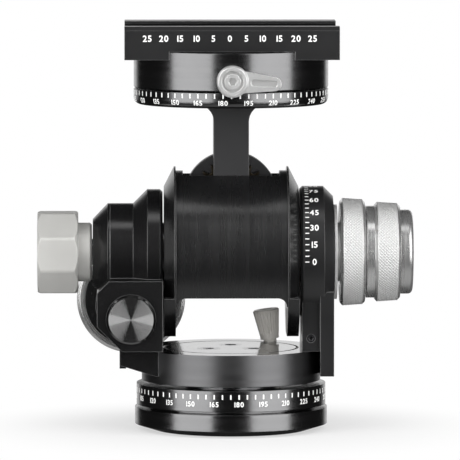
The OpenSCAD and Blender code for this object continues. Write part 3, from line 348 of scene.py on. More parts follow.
def number_solid(number, digits, height):
    """Points and faces of a number, centred on its middle, from solid digits set side by side."""
    gap_share = 0.16
    gap = gap_share * height
    points, faces, at = [], [], 0.0
    for digit in str(number):
        own, own_faces, width = digits[digit]
        first = sum(len(p) for p in points)
        points.append(own + [at, 0, 0])
        faces += [[v + first for v in f] for f in own_faces]
        at += width + gap
    points = np.vstack(points)
    points[:, 0] -= (at - gap) / 2
    points[:, 1] -= height / 2
    return points, faces


def tick_solid(width, tall, depth):
    """Points and faces of a thin bar, centred on its middle."""
    signs = np.array([[x, y, z] for x in (-1, 1) for y in (-1, 1) for z in (-1, 1)], float)
    faces = [[0, 1, 3, 2], [4, 6, 7, 5], [0, 4, 5, 1], [2, 3, 7, 6], [0, 2, 6, 4], [1, 5, 7, 3]]
    return signs * np.array([width, tall, depth]) / 2, faces


def gather(parts):
    """Joins (points, faces) pairs into one."""
    starts = np.cumsum([0] + [len(p) for p, _ in parts])
    faces = [[v + s for v in f] for (_, own), s in zip(parts, starts) for f in own]
    return np.vstack([p for p, _ in parts]), faces


def wrap_round(points, profile, axis, centre, turn, handed=1):
    """Bends flat points (u, v, w) round an axis: u is arc length, v runs along the profile, w off it.

    The profile is (along, radius) rows; v is measured from its first row, and w goes along its normal.
    """
    rows = np.array(profile)
    steps = np.diff(rows, axis=0)
    reach = np.concatenate([[0], np.cumsum(np.hypot(steps[:, 0], steps[:, 1]))])
    ways = np.vstack([steps, steps[-1:]])
    slopes = ways / np.hypot(*ways.T)[:, None]
    v = points[:, 1]
    along, radius = np.interp(v, reach, rows[:, 0]), np.interp(v, reach, rows[:, 1])
    da, dr = np.interp(v, reach, slopes[:, 0]), np.interp(v, reach, slopes[:, 1])
    along, radius = along - points[:, 2] * dr, radius + points[:, 2] * da
    theta = turn + handed * points[:, 0] / rows[:, 1].max()
    return place_turned(along, radius, theta, axis, centre)


# Shaders written as Python expressions


class Value:
    """A node's output that joins in Python arithmetic; each operator adds one Math node."""

    def __init__(self, recipe, socket):
        self.recipe, self.socket = recipe, socket

    def _math(self, operation, *terms):
        return self.recipe.node("ShaderNodeMath", {"operation": operation}, dict(enumerate(terms)))

    def __add__(self, other):
        return self._math("ADD", self, other)

    def __radd__(self, other):
        return self._math("ADD", other, self)

    def __sub__(self, other):
        return self._math("SUBTRACT", self, other)

    def __rsub__(self, other):
        return self._math("SUBTRACT", other, self)

    def __mul__(self, other):
        return self._math("MULTIPLY", self, other)

    def __rmul__(self, other):
        return self._math("MULTIPLY", other, self)

    def __pow__(self, other):
        return self._math("POWER", self, other)


class Recipe:
    """Node tree of one finish or of the world, with one method that adds any node."""

    def __init__(self, tree):
        self.tree = tree
        tree.nodes.clear()

    def node(self, kind, settings=None, inputs=None, output=0):
        """Adds a node: its settings are set first, then its sockets get values or links."""
        made = self.tree.nodes.new(kind)
        for key, value in (settings or {}).items():
            setattr(made, key, value)
        for key, value in (inputs or {}).items():
            if isinstance(value, Value):
                self.tree.links.new(value.socket, made.inputs[key])
            else:
                made.inputs[key].default_value = value
        return Value(self, made.outputs[output]) if made.outputs else None

    def blend(self, factor, first, second):
        """Colour between two, by a factor."""
        return self.node("ShaderNodeMix", {"data_type": "RGBA"}, {0: factor, 6: first, 7: second}, 2)

    def span(self, value, low, high):
        """Smooth step of a value from 0 at low to 1 at high."""
        return self.node(
            "ShaderNodeMapRange",
            {"interpolation_type": "SMOOTHSTEP"},
            {"Value": value, "From Min": low, "From Max": high},
        )

    def noise(self, vector, scale, detail):
        """Noise between 0 and 1 at so many waves a metre, with finer waves over it."""
        return self.node(
            "ShaderNodeTexNoise", None, {"Vector": vector, "Scale": scale, "Detail": detail}
        )

    def places(self):
        """Place on the piece in metres."""
        return self.node("ShaderNodeTexCoord", output="Object")

    def lathe(self, axis, centre):
        """Place on a turned piece as (along the axis, distance from it, 0)."""
        moved = self.node(
            "ShaderNodeMapping", None, {"Vector": self.places(), "Location": [-c for c in centre]}
        )
        parts = [
            self.node("ShaderNodeSeparateXYZ", None, {"Vector": moved}, name) for name in "XYZ"
        ]
        along = parts.pop(AXES[axis])
        radius = (parts[0] * parts[0] + parts[1] * parts[1]) ** 0.5
        return self.node("ShaderNodeCombineXYZ", None, {"X": along, "Y": radius})


def rgba(values, factor=1.0):
    """Opaque colour made lighter or darker by a factor."""
    return [min(1.0, v * factor) for v in values] + [1.0]


def metal(name, tint, roughness, metallic, edge_round, turn=None, lines=0.0, grain=0.0, specular=0.5,
          edge=None, smooth_top=None, band=None):
    """Metal finish: cloudy tint, blast grain or lathe lines in the bump, rounded edges, and lighter edges
    that are partly rubbed-through wear and partly a painted highlight.

    turn is (axis, centre) of a turned piece; lines and grain are depths in metres.
    edge is the colour of those lighter edges, partly wear and partly painted highlight; smooth_top is the
    height of a faced top, smoother than the sides.
    band is the (start, end) along a turned piece's axis that is knurled, and so duller than the rest.
    """
    made = bpy.data.materials.new(name)
    made.use_nodes = True
    r = Recipe(made.node_tree)
    places = r.places()
    cloud = r.noise(places, CLOUDS, 3)
    fine = r.noise(places, GRAIN, 1)
    tone = r.blend(cloud, rgba(tint, 1 - TINT_SPREAD), rgba(tint, 1 + TINT_SPREAD))
    rough = roughness - ROUGH_SPREAD / 2 + ROUGH_SPREAD * cloud
    height = fine * grain
    if turn:
        lathe = r.lathe(*turn)
        coarse, thin = r.noise(lathe, MARKS, 1), r.noise(lathe, GRAIN, 1)
        height = height + (COARSE_WEIGHT * coarse + thin) * lines
        rough = rough + COARSE_ROUGH * (coarse - 0.5)
        if band:
            along = r.node("ShaderNodeSeparateXYZ", None, {"Vector": lathe}, "X")
            before, after = (r.span(along, at - LIP, at + LIP) for at in band)
            knurled = before * (1 - after)
            rough, metallic = rough + BAND_ROUGH * knurled, metallic - BAND_DULL * knurled
            tone = r.blend(knurled, tone, rgba(tint, BAND_TONE))
    if smooth_top:
        height_up = r.node("ShaderNodeSeparateXYZ", None, {"Vector": places}, "Z")
        faced = r.span(height_up, smooth_top - TOP_FROM, smooth_top - TOP_TO)
        rough = rough - TOP_POLISH * roughness * faced
    rounded = r.node("ShaderNodeBevel", {"samples": 6}, {"Radius": edge_round})
    # Lighter edges: partly wear rubbed through the finish, partly a painted highlight standing in for the
    # light caught on rounded edges
    if edge:
        flat = r.node("ShaderNodeNewGeometry", output="Normal")
        facing = r.node(
            "ShaderNodeVectorMath", {"operation": "DOT_PRODUCT"}, {0: rounded, 1: flat}, "Value"
        )
        rub_and_sheen = r.span(1 - facing + RUB_SHEEN_CLOUDS * (cloud - 0.5), RUB_SHEEN_FROM, RUB_SHEEN_TO)
        tone = r.blend(rub_and_sheen, tone, rgba(edge))
    normal = r.node(
        "ShaderNodeBump", None, {"Strength": 1.0, "Distance": 1.0, "Height": height, "Normal": rounded}
    )
    shader = r.node(
        "ShaderNodeBsdfPrincipled",
        None,
        {
            "Base Color": tone,
            "Roughness": rough,
            "Metallic": metallic,
            "Specular IOR Level": specular,
            "Normal": normal,
        },
    )
    r.node("ShaderNodeOutputMaterial", None, {"Surface": shader})
    return made


def paint_finish(name, tint):
    """Matt paint with a faint mottle in its colour and surface."""
    made = bpy.data.materials.new(name)
    made.use_nodes = True
    r = Recipe(made.node_tree)
    waves, relief, darkest, lightest, roughness, rough_spread = 2600, 4e-6, 0.93, 1.05, 0.45, 0.15
    mottle = r.noise(r.places(), waves, 2)
    normal = r.node("ShaderNodeBump", None, {"Distance": 1.0, "Height": mottle * relief})
    shader = r.node(
        "ShaderNodeBsdfPrincipled",
        None,
        {
            "Base Color": r.blend(mottle, rgba(tint, darkest), rgba(tint, lightest)),
            "Roughness": roughness + rough_spread * mottle,
            "Normal": normal,
        },
    )
    r.node("ShaderNodeOutputMaterial", None, {"Surface": shader})
    return made


FINISHES = {}


def finish(name):
    """A finish that the metal operator has made."""
    if name not in FINISHES:
        raise RuntimeError(f"the finish {name} isn't made yet: run the finishes first")
    return FINISHES[name]


NODE_FINISH = {
    "black": ["right_arm", "clamp_plate", "clamp_jaw"],
    "satin": ["gear_housing", "left_cheek", "right_cheek"],
    "drum": ["drum"],
    "cover": ["housing_cover", "rear_sleeve"],
    "gloss": ["base_body", "pan_dial_ring", "clamp_drum", "clamp_dial"],
    "deck": ["turntable"],
    "neck": ["stem"],
    "silver_x": ["roll_release_collar", "right_trunnion", "roll_fine_knob"],
    "silver_y": ["pitch_release_collar", "pitch_fine_knob", "clamp_knob"],
    "cap_x": ["roll_knob_cap"],
    "cap_y": ["pitch_knob_cap"],
    "warm_silver": ["pitch_lock_knob"],
    "thumb": ["pan_lock_knob"],
    "cap": ["worm_cap"],
    "lever": ["clamp_lever", "lever_screw"],
    "dark_steel": [
        "retainer_screws", "arm_screws", "arm_set_screw", "cheek_screws",
        "plate_screws", "roll_gear_screws", "clamp_spindle_bolt",
    ],
    "steel": [
        "pan_spindle", "pan_retainer", "left_trunnion", "roll_pin", "roll_worm", "pitch_worm",
        "clamp_spindle", "jaw_guide_pins", "clamp_screw", "pitch_lock_screw", "spindle_screws",
        "pitch_release_spring", "roll_release_spring",
    ],
    "brass": [
        "pitch_wheel", "right_bush", "left_bush", "pitch_worm_bushes",
        "roll_worm_bushes", "thread_insert", "pan_brake_shoe", "clamp_brake_shoe",
    ],
    # The roll gear gets brass darkened as painted shade
    "bronze": ["roll_gear"],
    "washer": ["pan_thrust_washer"],
    "lining": ["pitch_brake_pad"],
}


class HEAD_OT_finishes(bpy.types.Operator):
    """Make the finishes and give each frame node its own"""

    bl_idname = "head.finishes"
    bl_label = "Finishes"

    def execute(self, context):
        c, s = context.scene.head_colours, context.scene.head_sizes
        e = s.edge_round
        on_x, on_z = ("X", (0, 0, PITCH_Z)), ("Z", (0, 0, 0))
        on_worm = ("Y", (WORM_X, 0, WORM_Z))
        deck_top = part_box("turntable")[1].z
        # Colours of the lighter edges: partly rubbed-through wear, partly a painted highlight
        grey_rub_and_sheen, bright_rub_and_sheen = (0.22, 0.22, 0.22), (0.75, 0.75, 0.74)
        # Each has its name, colour, roughness, metallic share and edge rounding; turned ones go on with their
        # axis, the depths of lines and grain, the specular level and the colour of the lighter edges, partly
        # rubbed-through wear and partly a painted highlight
        FINISHES.update(
            black=metal("black_blasted", c.black, 0.3, 0, e, grain=7e-6, specular=0.7, edge=grey_rub_and_sheen),
            satin=metal("black_satin", c.satin, 0.24, 0, e, grain=5e-6, specular=0.9, edge=grey_rub_and_sheen),
            drum=metal("black_drum", c.drum, 0.27, 0, e, on_x, 22e-6, 2e-6, 0.95, grey_rub_and_sheen),
            cover=metal("black_cover", c.satin, 0.24, 0, e, on_x, 5e-6, 0, 0.9, grey_rub_and_sheen),
            gloss=metal("black_gloss", c.gloss, 0.2, 1, e, on_z, 1.5e-6, 0),
            deck=metal("grey_deck", c.deck, 0.36, 1, e, on_z, 1e-6, 0, edge=bright_rub_and_sheen, smooth_top=deck_top),
            neck=metal("grey_neck", c.neck, 0.42, 0, e, grain=8e-6, edge=grey_rub_and_sheen),
            silver_x=metal("silver_x", c.silver, 0.38, 0.5, e, on_x, 3e-6, 1e-6),
            silver_y=metal("silver_y", c.silver, 0.38, 0.5, e, on_worm, 3e-6, 1e-6),
            cap_x=metal("silver_cap_x", c.knob_cap, 0.28, 0.84, e, on_x, 5e-6, 0),
            cap_y=metal("silver_cap_y", c.knob_cap, 0.28, 0.84, e, on_worm, 5e-6, 0),
            warm_silver=metal("silver_blasted", c.warm_silver, 0.45, 0.5, e, grain=8e-6, edge=bright_rub_and_sheen),
            thumb=metal("grey_thumb", c.thumb, 0.36, 0.2, e, grain=4e-6),
            cap=metal("grey_cap", c.cap, 0.12, 1, 0.1 * e, on_worm, 1e-6, 0),
            lever=metal("silver_lever", c.silver, 0.3, 0.7, e, grain=3e-6),
            # Brass darkened as painted shade for the gear that sits in the drum's slot
            bronze=metal("brass_painted_shade", c.bronze, 0.4, 1, e, grain=4e-6),
            dark_steel=metal("steel_black", c.dark_steel, 0.35, 1, e, grain=4e-6, edge=grey_rub_and_sheen),
            steel=metal("steel_ground", c.steel, 0.25, 1, e, grain=3e-6),
            brass=metal("brass_cut", c.brass, 0.28, 1, e, grain=4e-6),
            washer=metal("plastic_washer", c.washer, 0.5, 0, e, grain=6e-6),
            lining=metal("brake_lining", c.lining, 0.8, 0, e, grain=3e-5),
            paint=paint_finish("scale_paint", c.paint),
        )
        for name, nodes in NODE_FINISH.items():
            for node in nodes:
                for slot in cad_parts[node].material_slots:
                    slot.material = finish(name)
        bare = set(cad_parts) - {n for nodes in NODE_FINISH.values() for n in nodes}
        if bare:
            raise RuntimeError(f"these nodes have no finish: {sorted(bare)}")
        return {"FINISHED"}


def knurled_finish(context, name, axis, centre, band):
    """Bright turned finish with a knurled band, whose place is along the axis from the centre."""
    c, s = context.scene.head_colours, context.scene.head_sizes
    start = centre[AXES[axis]]
    turn, band = (axis, centre), [at - start for at in band]
    roughness, metallic, lines = 0.26, 0.86, 16e-6
    return metal(name, c.silver, roughness, metallic, s.edge_round, turn, lines, band=band)


def knob_measures(node, axis):
    """Start and end of a turned node along its axis, and its radius."""
    low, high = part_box(node)
    k, across = AXES[axis], (AXES[axis] + 1) % 3
    return low[k], high[k], (high[across] - low[across]) / 2


def knurled_band(context, first, last, outer, inner):
    """Knurled rows from one place along the axis to another, their relief and the steps round them."""
    s = context.scene.head_sizes
    number = round(s.knurl_count * outer / KNURL_RADIUS)
    relief = diamond_relief(first, last, number, TURN * outer / number, s.knurl_depth, KNURL_FADE)
    return band_rows(first, last, outer, inner, KNURL_ROWS), relief, number * KNURL_STEPS


def knurled_fine_knob(context, node, axis, centre, name, body):
    """Fine knob as one turned loop: bore, neck, chamfer, knurled band, chamfer and the cap's recess."""
    start, end, outer = knob_measures(node, axis)
    neck, edge, bore, broken, lead = outer - 1.2 * MM, KNOB_EDGE, 3.45 * MM, 0.15 * MM, 0.08 * MM
    band, recess, deep = start + 2.6 * MM, outer - 3.6 * MM, end - 2.5 * MM
    first, last, inner = band + edge, end - edge, outer - KNOB_TAPER
    rows, relief, segments = knurled_band(context, first, last, outer, inner)
    profile = np.vstack([
        [[start, bore], [start, neck - broken], [start + broken, neck], [band, neck]],
        [[band, outer - edge]],
        band_rows(band + lead, first - NICK, outer - edge + LIP, outer - NICK, 4),
        rows,
        band_rows(last + NICK, end - lead, inner - NICK, inner - edge + LIP, 4),
        [[end, inner - edge], [end, recess], [deep, recess], [deep, bore]],
    ])
    look = knurled_finish(context, "silver_" + name, axis, centre, (first, last))
    piece = turned_piece(name, profile, axis, centre, look, segments, relief)
    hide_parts(node)
    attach(piece, body)


class HEAD_OT_fine_knobs(bpy.types.Operator):
    """Cut the diamond knurl on the two fine knobs"""

    bl_idname = "head.fine_knobs"
    bl_label = "Fine knobs"

    def execute(self, context):
        on_x, on_worm = (0, 0, PITCH_Z), (WORM_X, 0, WORM_Z)
        knurled_fine_knob(context, "roll_fine_knob", "X", on_x, "roll_knurled_knob", "roll_drive")
        knurled_fine_knob(context, "pitch_fine_knob", "Y", on_worm, "pitch_knurled_knob", "pitch_drive")
        return {"FINISHED"}


def knurled_collar(context, node, spring, axis, centre, name, body):
    """Release collar as one turned loop: dished face, knurled band, chamfers and the room for its spring."""
    start, end, outer = knob_measures(node, axis)
    coil_start, coil_end, coil = knob_measures(spring, axis)
    edge, rim, bore, room, lap = KNOB_EDGE, 1 * MM, 9.05 * MM, 0.6 * MM, 1.5 * MM
    rim_lip, rim_nick = 0.06 * MM, 0.025 * MM
    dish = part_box("rear_sleeve")[1].z - WORM_Z - lap
    first, last, inner = start + edge, end - edge, outer - KNOB_TAPER
    rows, relief, segments = knurled_band(context, first, last, outer, inner)
    profile = np.vstack([
        [[start, bore], [start + edge, dish], [start, outer - rim]],
        band_rows(start + LIP, first - NICK, outer - rim + rim_lip, outer - rim_nick, 4),
        rows,
        band_rows(last + NICK, end - LIP, inner - NICK, inner - edge + LIP, 4),
        [[end, inner - edge], [end, bore], [coil_end + room, bore], [coil_end + room, coil + room]],
        [[coil_start - room, coil + room], [coil_start - room, bore]],
    ])
    look = knurled_finish(context, "silver_" + name, axis, centre, (first, last))
    piece = turned_piece(name, profile, axis, centre, look, segments, relief)
    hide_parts(node)
    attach(piece, body)


class HEAD_OT_release_collars(bpy.types.Operator):
    """Cut the diamond knurl on the two release collars"""

    bl_idname = "head.release_collars"
    bl_label = "Release collars"

    def execute(self, context):
        knurled_collar(
            context, "roll_release_collar", "roll_release_spring", "X", (0, 0, PITCH_Z),
            "roll_knurled_collar", "roll_release",
        )
        knurled_collar(
            context, "pitch_release_collar", "pitch_release_spring", "Y", (WORM_X, 0, WORM_Z),
            "pitch_knurled_collar", "pitch_release",
        )
        return {"FINISHED"}


class HEAD_OT_clamp_knob(bpy.types.Operator):
    """Cut the diamond knurl on the clamp's knob"""

    bl_idname = "head.clamp_knob"
    bl_label = "Clamp knob"

    def execute(self, context):
        low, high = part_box("clamp_knob")
        start, end, outer = low.y, high.y, (high.x - low.x) / 2
        centre = (0, 0, middle("clamp_knob", "Z"))
        hub, edge, bore, broken, dimple = 0.7 * outer, KNOB_EDGE, 3.05 * MM, 0.2 * MM, 0.3 * MM
        head, rim, dish = start + 2 * MM, 0.45 * outer, 0.42 * outer
        first, last = head + edge, end - edge
        rows, relief, segments = knurled_band(context, first, last, outer, outer)
        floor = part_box("clamp_screw")[1].y + NICK
        profile = np.vstack([
            [[floor, 0], [floor, bore], [start, bore], [start, hub - broken], [start + broken, hub]],
            [[head, hub], [head, outer - edge]],
            rows,
            round_rows((last, outer - edge), edge, 80, 0, 5),
            [[end, rim], [end - dimple, dish], [end - dimple, 0]],
        ])
        look = knurled_finish(context, "silver_clamp_knob", "Y", centre, (first, last))
        piece = turned_piece("clamp_knurled_knob", profile, "Y", centre, look, segments, relief)
        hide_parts("clamp_knob")
        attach(piece, "clamp_knob")
        return {"FINISHED"}


class HEAD_OT_worm_cap(bpy.types.Operator):
    """Turn the fine rings on the worm's end cap"""

    bl_idname = "head.worm_cap"
    bl_label = "Worm cap"

    def execute(self, context):
        s = context.scene.head_sizes
        low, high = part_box("worm_cap")
        outer, edge, flat, ring_rows, segments = (high.x - low.x) / 2, 0.6 * MM, 0.1 * MM, 8, 128
        reach = outer - edge - flat
        rings = round(reach / s.ring_pitch)
        radius = np.linspace(0, reach, ring_rows * rings + 1)[1:]
        face = low.y + s.ring_depth / 2 * (1 - np.cos(TURN * rings * radius / reach))
        proud = low.y + 2 * MM
        profile = np.vstack([
            [[low.y, 0]],
            np.stack([face, radius], -1),
            [[low.y, outer - edge], [low.y + edge, outer], [proud, outer], [proud, outer - NICK]],
            [[high.y, outer - NICK], [high.y, 0]],
        ])
        centre = (WORM_X, 0, WORM_Z)
        piece = turned_piece("ringed_worm_cap", profile, "Y", centre, finish("cap"), segments)
        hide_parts("worm_cap")
        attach(piece, "turntable")
        return {"FINISHED"}


class HEAD_OT_thumb_screw(bpy.types.Operator):
    """Cut the grooves of the pan lock's thumb screw"""

    bl_idname = "head.thumb_screw"
    bl_label = "Thumb screw"

    def execute(self, context):
        s = context.scene.head_sizes
        low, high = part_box("pan_lock_knob")
        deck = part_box("turntable")[1].z
        tilt, across = math.cos(s.thumb_lean), math.sin(s.thumb_lean)
        shank, collar, edge, outer = 2 * MM, 2.9 * MM, 0.4 * MM, (high.y - low.y) / 2
        foot = (low.z - deck + shank * across) / tilt
        top = (high.z - deck - (outer - edge) * across) / tilt
        place = np.array([high.x + foot * across - shank * tilt, (low.y + high.y) / 2, deck])
        under, over, start, taper, dimple = 0.8 * MM, 1.8 * MM, 2.1 * MM, 1.1 * MM, 0.3 * MM
        rim, dish, fade, rows, groove_steps = 0.5 * outer, 0.45 * outer, 0.8 * MM, 25, 8
        profile = np.vstack([
            [[foot, 0], [foot, shank], [under, shank], [under, collar], [over, collar]],
            band_rows(start, top - edge, outer - taper, outer, rows),
            [[top, outer - edge], [top, rim], [top - dimple, dish], [top - dimple, 0]],
        ])
        relief = serration_relief(start, top - edge, s.serration_count, s.serration_depth, fade)

        def stand(points):
            x, y, z = points.T
            return np.stack([x * tilt - z * across, y, x * across + z * tilt], -1) + place

        segments = s.serration_count * groove_steps
        piece = turned_piece(
            "grooved_thumb_screw", profile, "Z", (0, 0, 0), finish("thumb"), segments, relief, stand
        )
        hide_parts("pan_lock_knob")
        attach(piece, "pan_lock")
        return {"FINISHED"}


def paint_piece(name, parts, body):
    """Scale marks as one piece of thin solids that rides on a body."""
    points, faces = gather(parts)
    piece = put_mesh(name, points, faces, finish("paint"))
    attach(piece, body)


class HEAD_OT_dials(bpy.types.Operator):
    """Fill the pan dial and the clamp dial with ticks and numbers"""

    bl_idname = "head.dials"
    bl_label = "Dials"

    def execute(self, context):
        s = context.scene.head_sizes
        low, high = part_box("pan_dial_ring")
        radius, tick_at, number_at = (high.x - low.x) / 2, 4.6 * MM, 2.35 * MM
        wall = [[low.z, radius], [high.z, radius]]
        self.fill("pan_dial", "base", wall, s.pan_dial_turn, tick_at, number_at, s)
        low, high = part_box("clamp_dial")
        radius, bend = (high.x - low.x) / 2, 2 * MM
        arc = round_rows((low.z + bend, radius - bend), bend, 180, 90, 13)
        wall = np.vstack([arc, [[high.z, radius]]])
        bend_end = bend * math.pi / 2
        tick_at, number_at = bend_end + 1.75 * MM, bend_end - 0.35 * MM
        self.fill("clamp_dial", "stem", wall, s.clamp_dial_turn, tick_at, number_at, s)
        return {"FINISHED"}

    def fill(self, name, body, wall, turn, tick_at, number_at, s):
        """Ticks every 5 degrees and numbers every 15, counted to the right from 180 at the front."""
        digits, sink = glyphs(s.digit_height, MARK_DEPTH), s.paint_height - MARK_DEPTH / 2
        bar, bar_faces = tick_solid(s.tick_width, s.tick_length, MARK_DEPTH)
        ticks, numbers = [], []
        front, tick_step, number_step = -math.pi / 2 + turn, 5, 15
        for degrees in range(0, 360, tick_step):
            at = front + math.radians(degrees)
            ticks.append((wrap_round(bar + [0, tick_at, sink], wall, "Z", (0, 0, 0), at), bar_faces))
        for degrees in range(0, 360, number_step):
            at = front + math.radians(degrees)
            points, faces = number_solid((180 + degrees) % 360, digits, s.digit_height)
            numbers.append((wrap_round(points + [0, number_at, sink], wall, "Z", (0, 0, 0), at), faces))
        paint_piece(name + "_ticks", ticks, body)
        paint_piece(name + "_numbers", numbers, body)


class HEAD_OT_jaw_scale(bpy.types.Operator):
    """Fill the front jaw's scale of numbers"""

    bl_idname = "head.jaw_scale"
    bl_label = "Jaw scale"

    def execute(self, context):
        s = context.scene.head_sizes
        digits = glyphs(s.jaw_digit_height, MARK_DEPTH)
        low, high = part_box("clamp_plate")
        parts, reach, step, below_top = [], 25, 5, 3.6 * MM
        for place in range(-reach, reach + 1, step):
            points, faces = number_solid(abs(place), digits, s.jaw_digit_height)
            across = points[:, 0] + s.jaw_scale_shift + place * MM
            up = points[:, 1] + high.z - below_top
            out = low.y - s.paint_height + MARK_DEPTH / 2 - points[:, 2]
            parts.append((np.stack([across, out, up], -1), faces))
        paint_piece("jaw_numbers", parts, "clamp")
        return {"FINISHED"}


class HEAD_OT_tilt_scale(bpy.types.Operator):
    """Fill the tilt scale on the right arm's round head"""

    bl_idname = "head.tilt_scale"
    bl_label = "Tilt scale"

    def execute(self, context):
        s = context.scene.head_sizes
        digits, sink = glyphs(s.jaw_digit_height, MARK_DEPTH), s.paint_height - MARK_DEPTH / 2
        low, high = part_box("right_arm")
        radius = high.z - PITCH_Z
        wall = [[low.x, radius], [high.x, radius]]
        tick_length, tick_width, tick_at, number_at = 1.2 * MM, 0.3 * MM, 1.9 * MM, 4.1 * MM
        bar, bar_faces = tick_solid(tick_length, tick_width, MARK_DEPTH)
        parts, tick_step, number_step = [], 5, 15
        for degrees in range(0, 91, tick_step):
            at = math.pi + s.tilt_turn - math.radians(degrees)
            parts.append((self.bend(bar, wall, tick_at, sink, at), bar_faces))
        for degrees in range(0, 91, number_step):
            at = math.pi + s.tilt_turn - math.radians(degrees)
            points, faces = number_solid(degrees, digits, s.jaw_digit_height)
            parts.append((self.bend(points, wall, number_at, sink, at), faces))
        paint_piece("tilt_scale", parts, "turntable")
        return {"FINISHED"}

    def bend(self, points, wall, across, sink, at):
        """Marks read with the arm's axis to the right and the round of its head upward."""
        turned = np.stack([points[:, 1], points[:, 0] + across, points[:, 2] + sink], -1)
        return wrap_round(turned, wall, "X", (0, 0, PITCH_Z), at, -1)


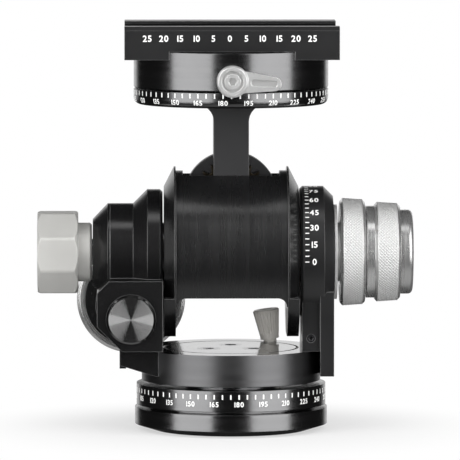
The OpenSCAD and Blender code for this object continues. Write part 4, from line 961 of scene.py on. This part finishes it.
class HEAD_OT_studio(bpy.types.Operator):
    """Set up the floor, the soft boxes, the room and the camera"""

    bl_idname = "head.studio"
    bl_label = "Studio"

    def execute(self, context):
        s = context.scene.head_studio
        self.floor(s)
        self.room(context, s)
        for name, side in (("left", -1), ("right", 1)):
            turn = side * s.lamp_turn
            place = (s.lamp_distance * math.sin(turn), -s.lamp_distance * math.cos(turn), s.lamp_rise)
            self.lamp("soft_box_" + name, place, (s.lamp_width, s.lamp_height), s.lamp_power)
        above, top_size = (0, -0.42, 1.25), (0.5, 0.35)
        self.lamp("top_lamp", above, top_size, s.top_power)
        beside_camera, front_size = (0, -1.8, 0.25), (0.4, 0.4)
        self.lamp("front_lamp", beside_camera, front_size, s.front_power, False)
        view = bpy.data.cameras.new("camera")
        view.sensor_width = 36
        place = np.array([s.camera_x, -s.camera_distance, s.camera_height])
        aim = np.array([s.aim_x, 0, s.aim_height])
        view.lens = view.sensor_width * np.linalg.norm(aim - place) / s.view_width
        view.clip_start, view.clip_end = 0.1, 20
        camera = bpy.data.objects.new("camera", view)
        self.point(camera, place, aim)
        context.scene.collection.objects.link(camera)
        context.scene.camera = camera
        context.scene.view_settings.view_transform = "Standard"
        return {"FINISHED"}

    def point(self, thing, place, aim):
        """Turns a lamp or camera at a place towards an aim."""
        thing.location = place
        thing.rotation_euler = (Vector(aim) - Vector(place)).to_track_quat("-Z", "Y").to_euler()

    def lamp(self, name, place, size, power, mirrored=True):
        """Soft rectangular lamp that the camera doesn't see; mirrored lets it show in reflections."""
        head_middle = (0, 0, 0.06)
        light = bpy.data.lights.new(name, "AREA")
        light.shape, light.size, light.size_y, light.energy = "RECTANGLE", *size, power
        made = bpy.data.objects.new(name, light)
        self.point(made, place, head_middle)
        made.visible_camera, made.visible_glossy = False, mirrored
        bpy.context.scene.collection.objects.link(made)

    def floor(self, s):
        """Pale floor that keeps the shadow near the head and clears to white further out."""
        half = 3.0
        corners = np.array([[-half, -half, 0], [half, -half, 0], [half, half, 0], [-half, half, 0]])
        made = bpy.data.materials.new("pale_floor")
        made.use_nodes = True
        r = Recipe(made.node_tree)
        away = r.node("ShaderNodeVectorMath", {"operation": "LENGTH"}, {0: r.places()}, "Value")
        seen = r.node("ShaderNodeLightPath", output="Is Camera Ray")
        pale = r.node("ShaderNodeBsdfDiffuse", None, {"Color": rgba(s.floor)})
        white = r.node("ShaderNodeEmission", None, {"Strength": 1.0})
        least, near, far = 0.55, 0.03, 0.09
        clear = (least + (1 - least) * r.span(away, near, far)) * seen
        shader = r.node("ShaderNodeMixShader", None, {0: clear, 1: pale, 2: white})
        r.node("ShaderNodeOutputMaterial", None, {"Surface": shader})
        floor = put_mesh("floor", corners, [[0, 1, 2, 3]], made)
        floor.visible_glossy = False

    def room(self, context, s):
        """White where the camera looks, a soft fill, and a white wall and pale floor for reflections."""
        world = context.scene.world or bpy.data.worlds.new("room")
        context.scene.world = world
        world.use_nodes = True
        r = Recipe(world.node_tree)
        direction = r.node("ShaderNodeTexCoord", output="Generated")
        back = r.node("ShaderNodeSeparateXYZ", None, {"Vector": direction}, "Y")
        up = r.node("ShaderNodeSeparateXYZ", None, {"Vector": direction}, "Z")
        seen = r.node("ShaderNodeLightPath", output="Is Camera Ray")
        mirrored = r.node("ShaderNodeLightPath", output="Is Glossy Ray")
        passed = r.node("ShaderNodeLightPath", output="Is Transmission Ray")
        # Shares of a direction between which the wall and the ground fade in, and then out
        wall_back, wall_foot, wall_top = (0.8, 0.92), (-0.25, -0.05), (0.18, 0.34)
        ground_down, ground_back = (0.5, 0.8), (0.1, 0.45)
        wall = r.span(back, *wall_back) * r.span(up, *wall_foot) * (1 - r.span(up, *wall_top))
        ground = r.span(0 - up, *ground_down) * (1 - r.span(back, *ground_back))
        reflected = s.front + (1 - s.front) * wall + s.below * ground
        light = r.blend(mirrored, rgba((s.fill, s.fill, s.fill)), reflected)
        straight = r.node("ShaderNodeMath", {"operation": "MAXIMUM"}, {0: seen, 1: passed})
        shown = r.blend(straight, light, rgba((1, 1, 1)))
        shader = r.node("ShaderNodeBackground", None, {"Color": shown, "Strength": 1.0})
        r.node("ShaderNodeOutputWorld", None, {"Surface": shader})


class HEAD_PT_panel(bpy.types.Panel):
    """Steps that dress the tripod head"""

    bl_idname = "HEAD_PT_panel"
    bl_label = "Tripod head"
    bl_space_type = "VIEW_3D"
    bl_region_type = "UI"
    bl_category = "Tripod head"

    def draw(self, context):
        for group in (context.scene.head_colours, context.scene.head_sizes, context.scene.head_studio):
            for key in type(group).__annotations__:
                self.layout.prop(group, key)
        for step in STEPS:
            self.layout.operator(step.bl_idname)


STEPS = (
    HEAD_OT_studio, HEAD_OT_finishes, HEAD_OT_fine_knobs, HEAD_OT_release_collars, HEAD_OT_clamp_knob,
    HEAD_OT_worm_cap, HEAD_OT_thumb_screw, HEAD_OT_dials, HEAD_OT_jaw_scale, HEAD_OT_tilt_scale,
)
GROUPS = {"head_colours": HeadColours, "head_sizes": HeadSizes, "head_studio": HeadStudio}
CLASSES = (*GROUPS.values(), *STEPS, HEAD_PT_panel)


def register():
    for made in CLASSES:
        bpy.utils.register_class(made)
    for key, group in GROUPS.items():
        setattr(bpy.types.Scene, key, bpy.props.PointerProperty(type=group))


def unregister():
    for key in GROUPS:
        delattr(bpy.types.Scene, key)
    for made in reversed(CLASSES):
        bpy.utils.unregister_class(made)


def main():
    register()
    for step in STEPS:
        family, name = step.bl_idname.split(".")
        getattr(getattr(bpy.ops, family), name)()


if __name__ == "__main__":
    main()
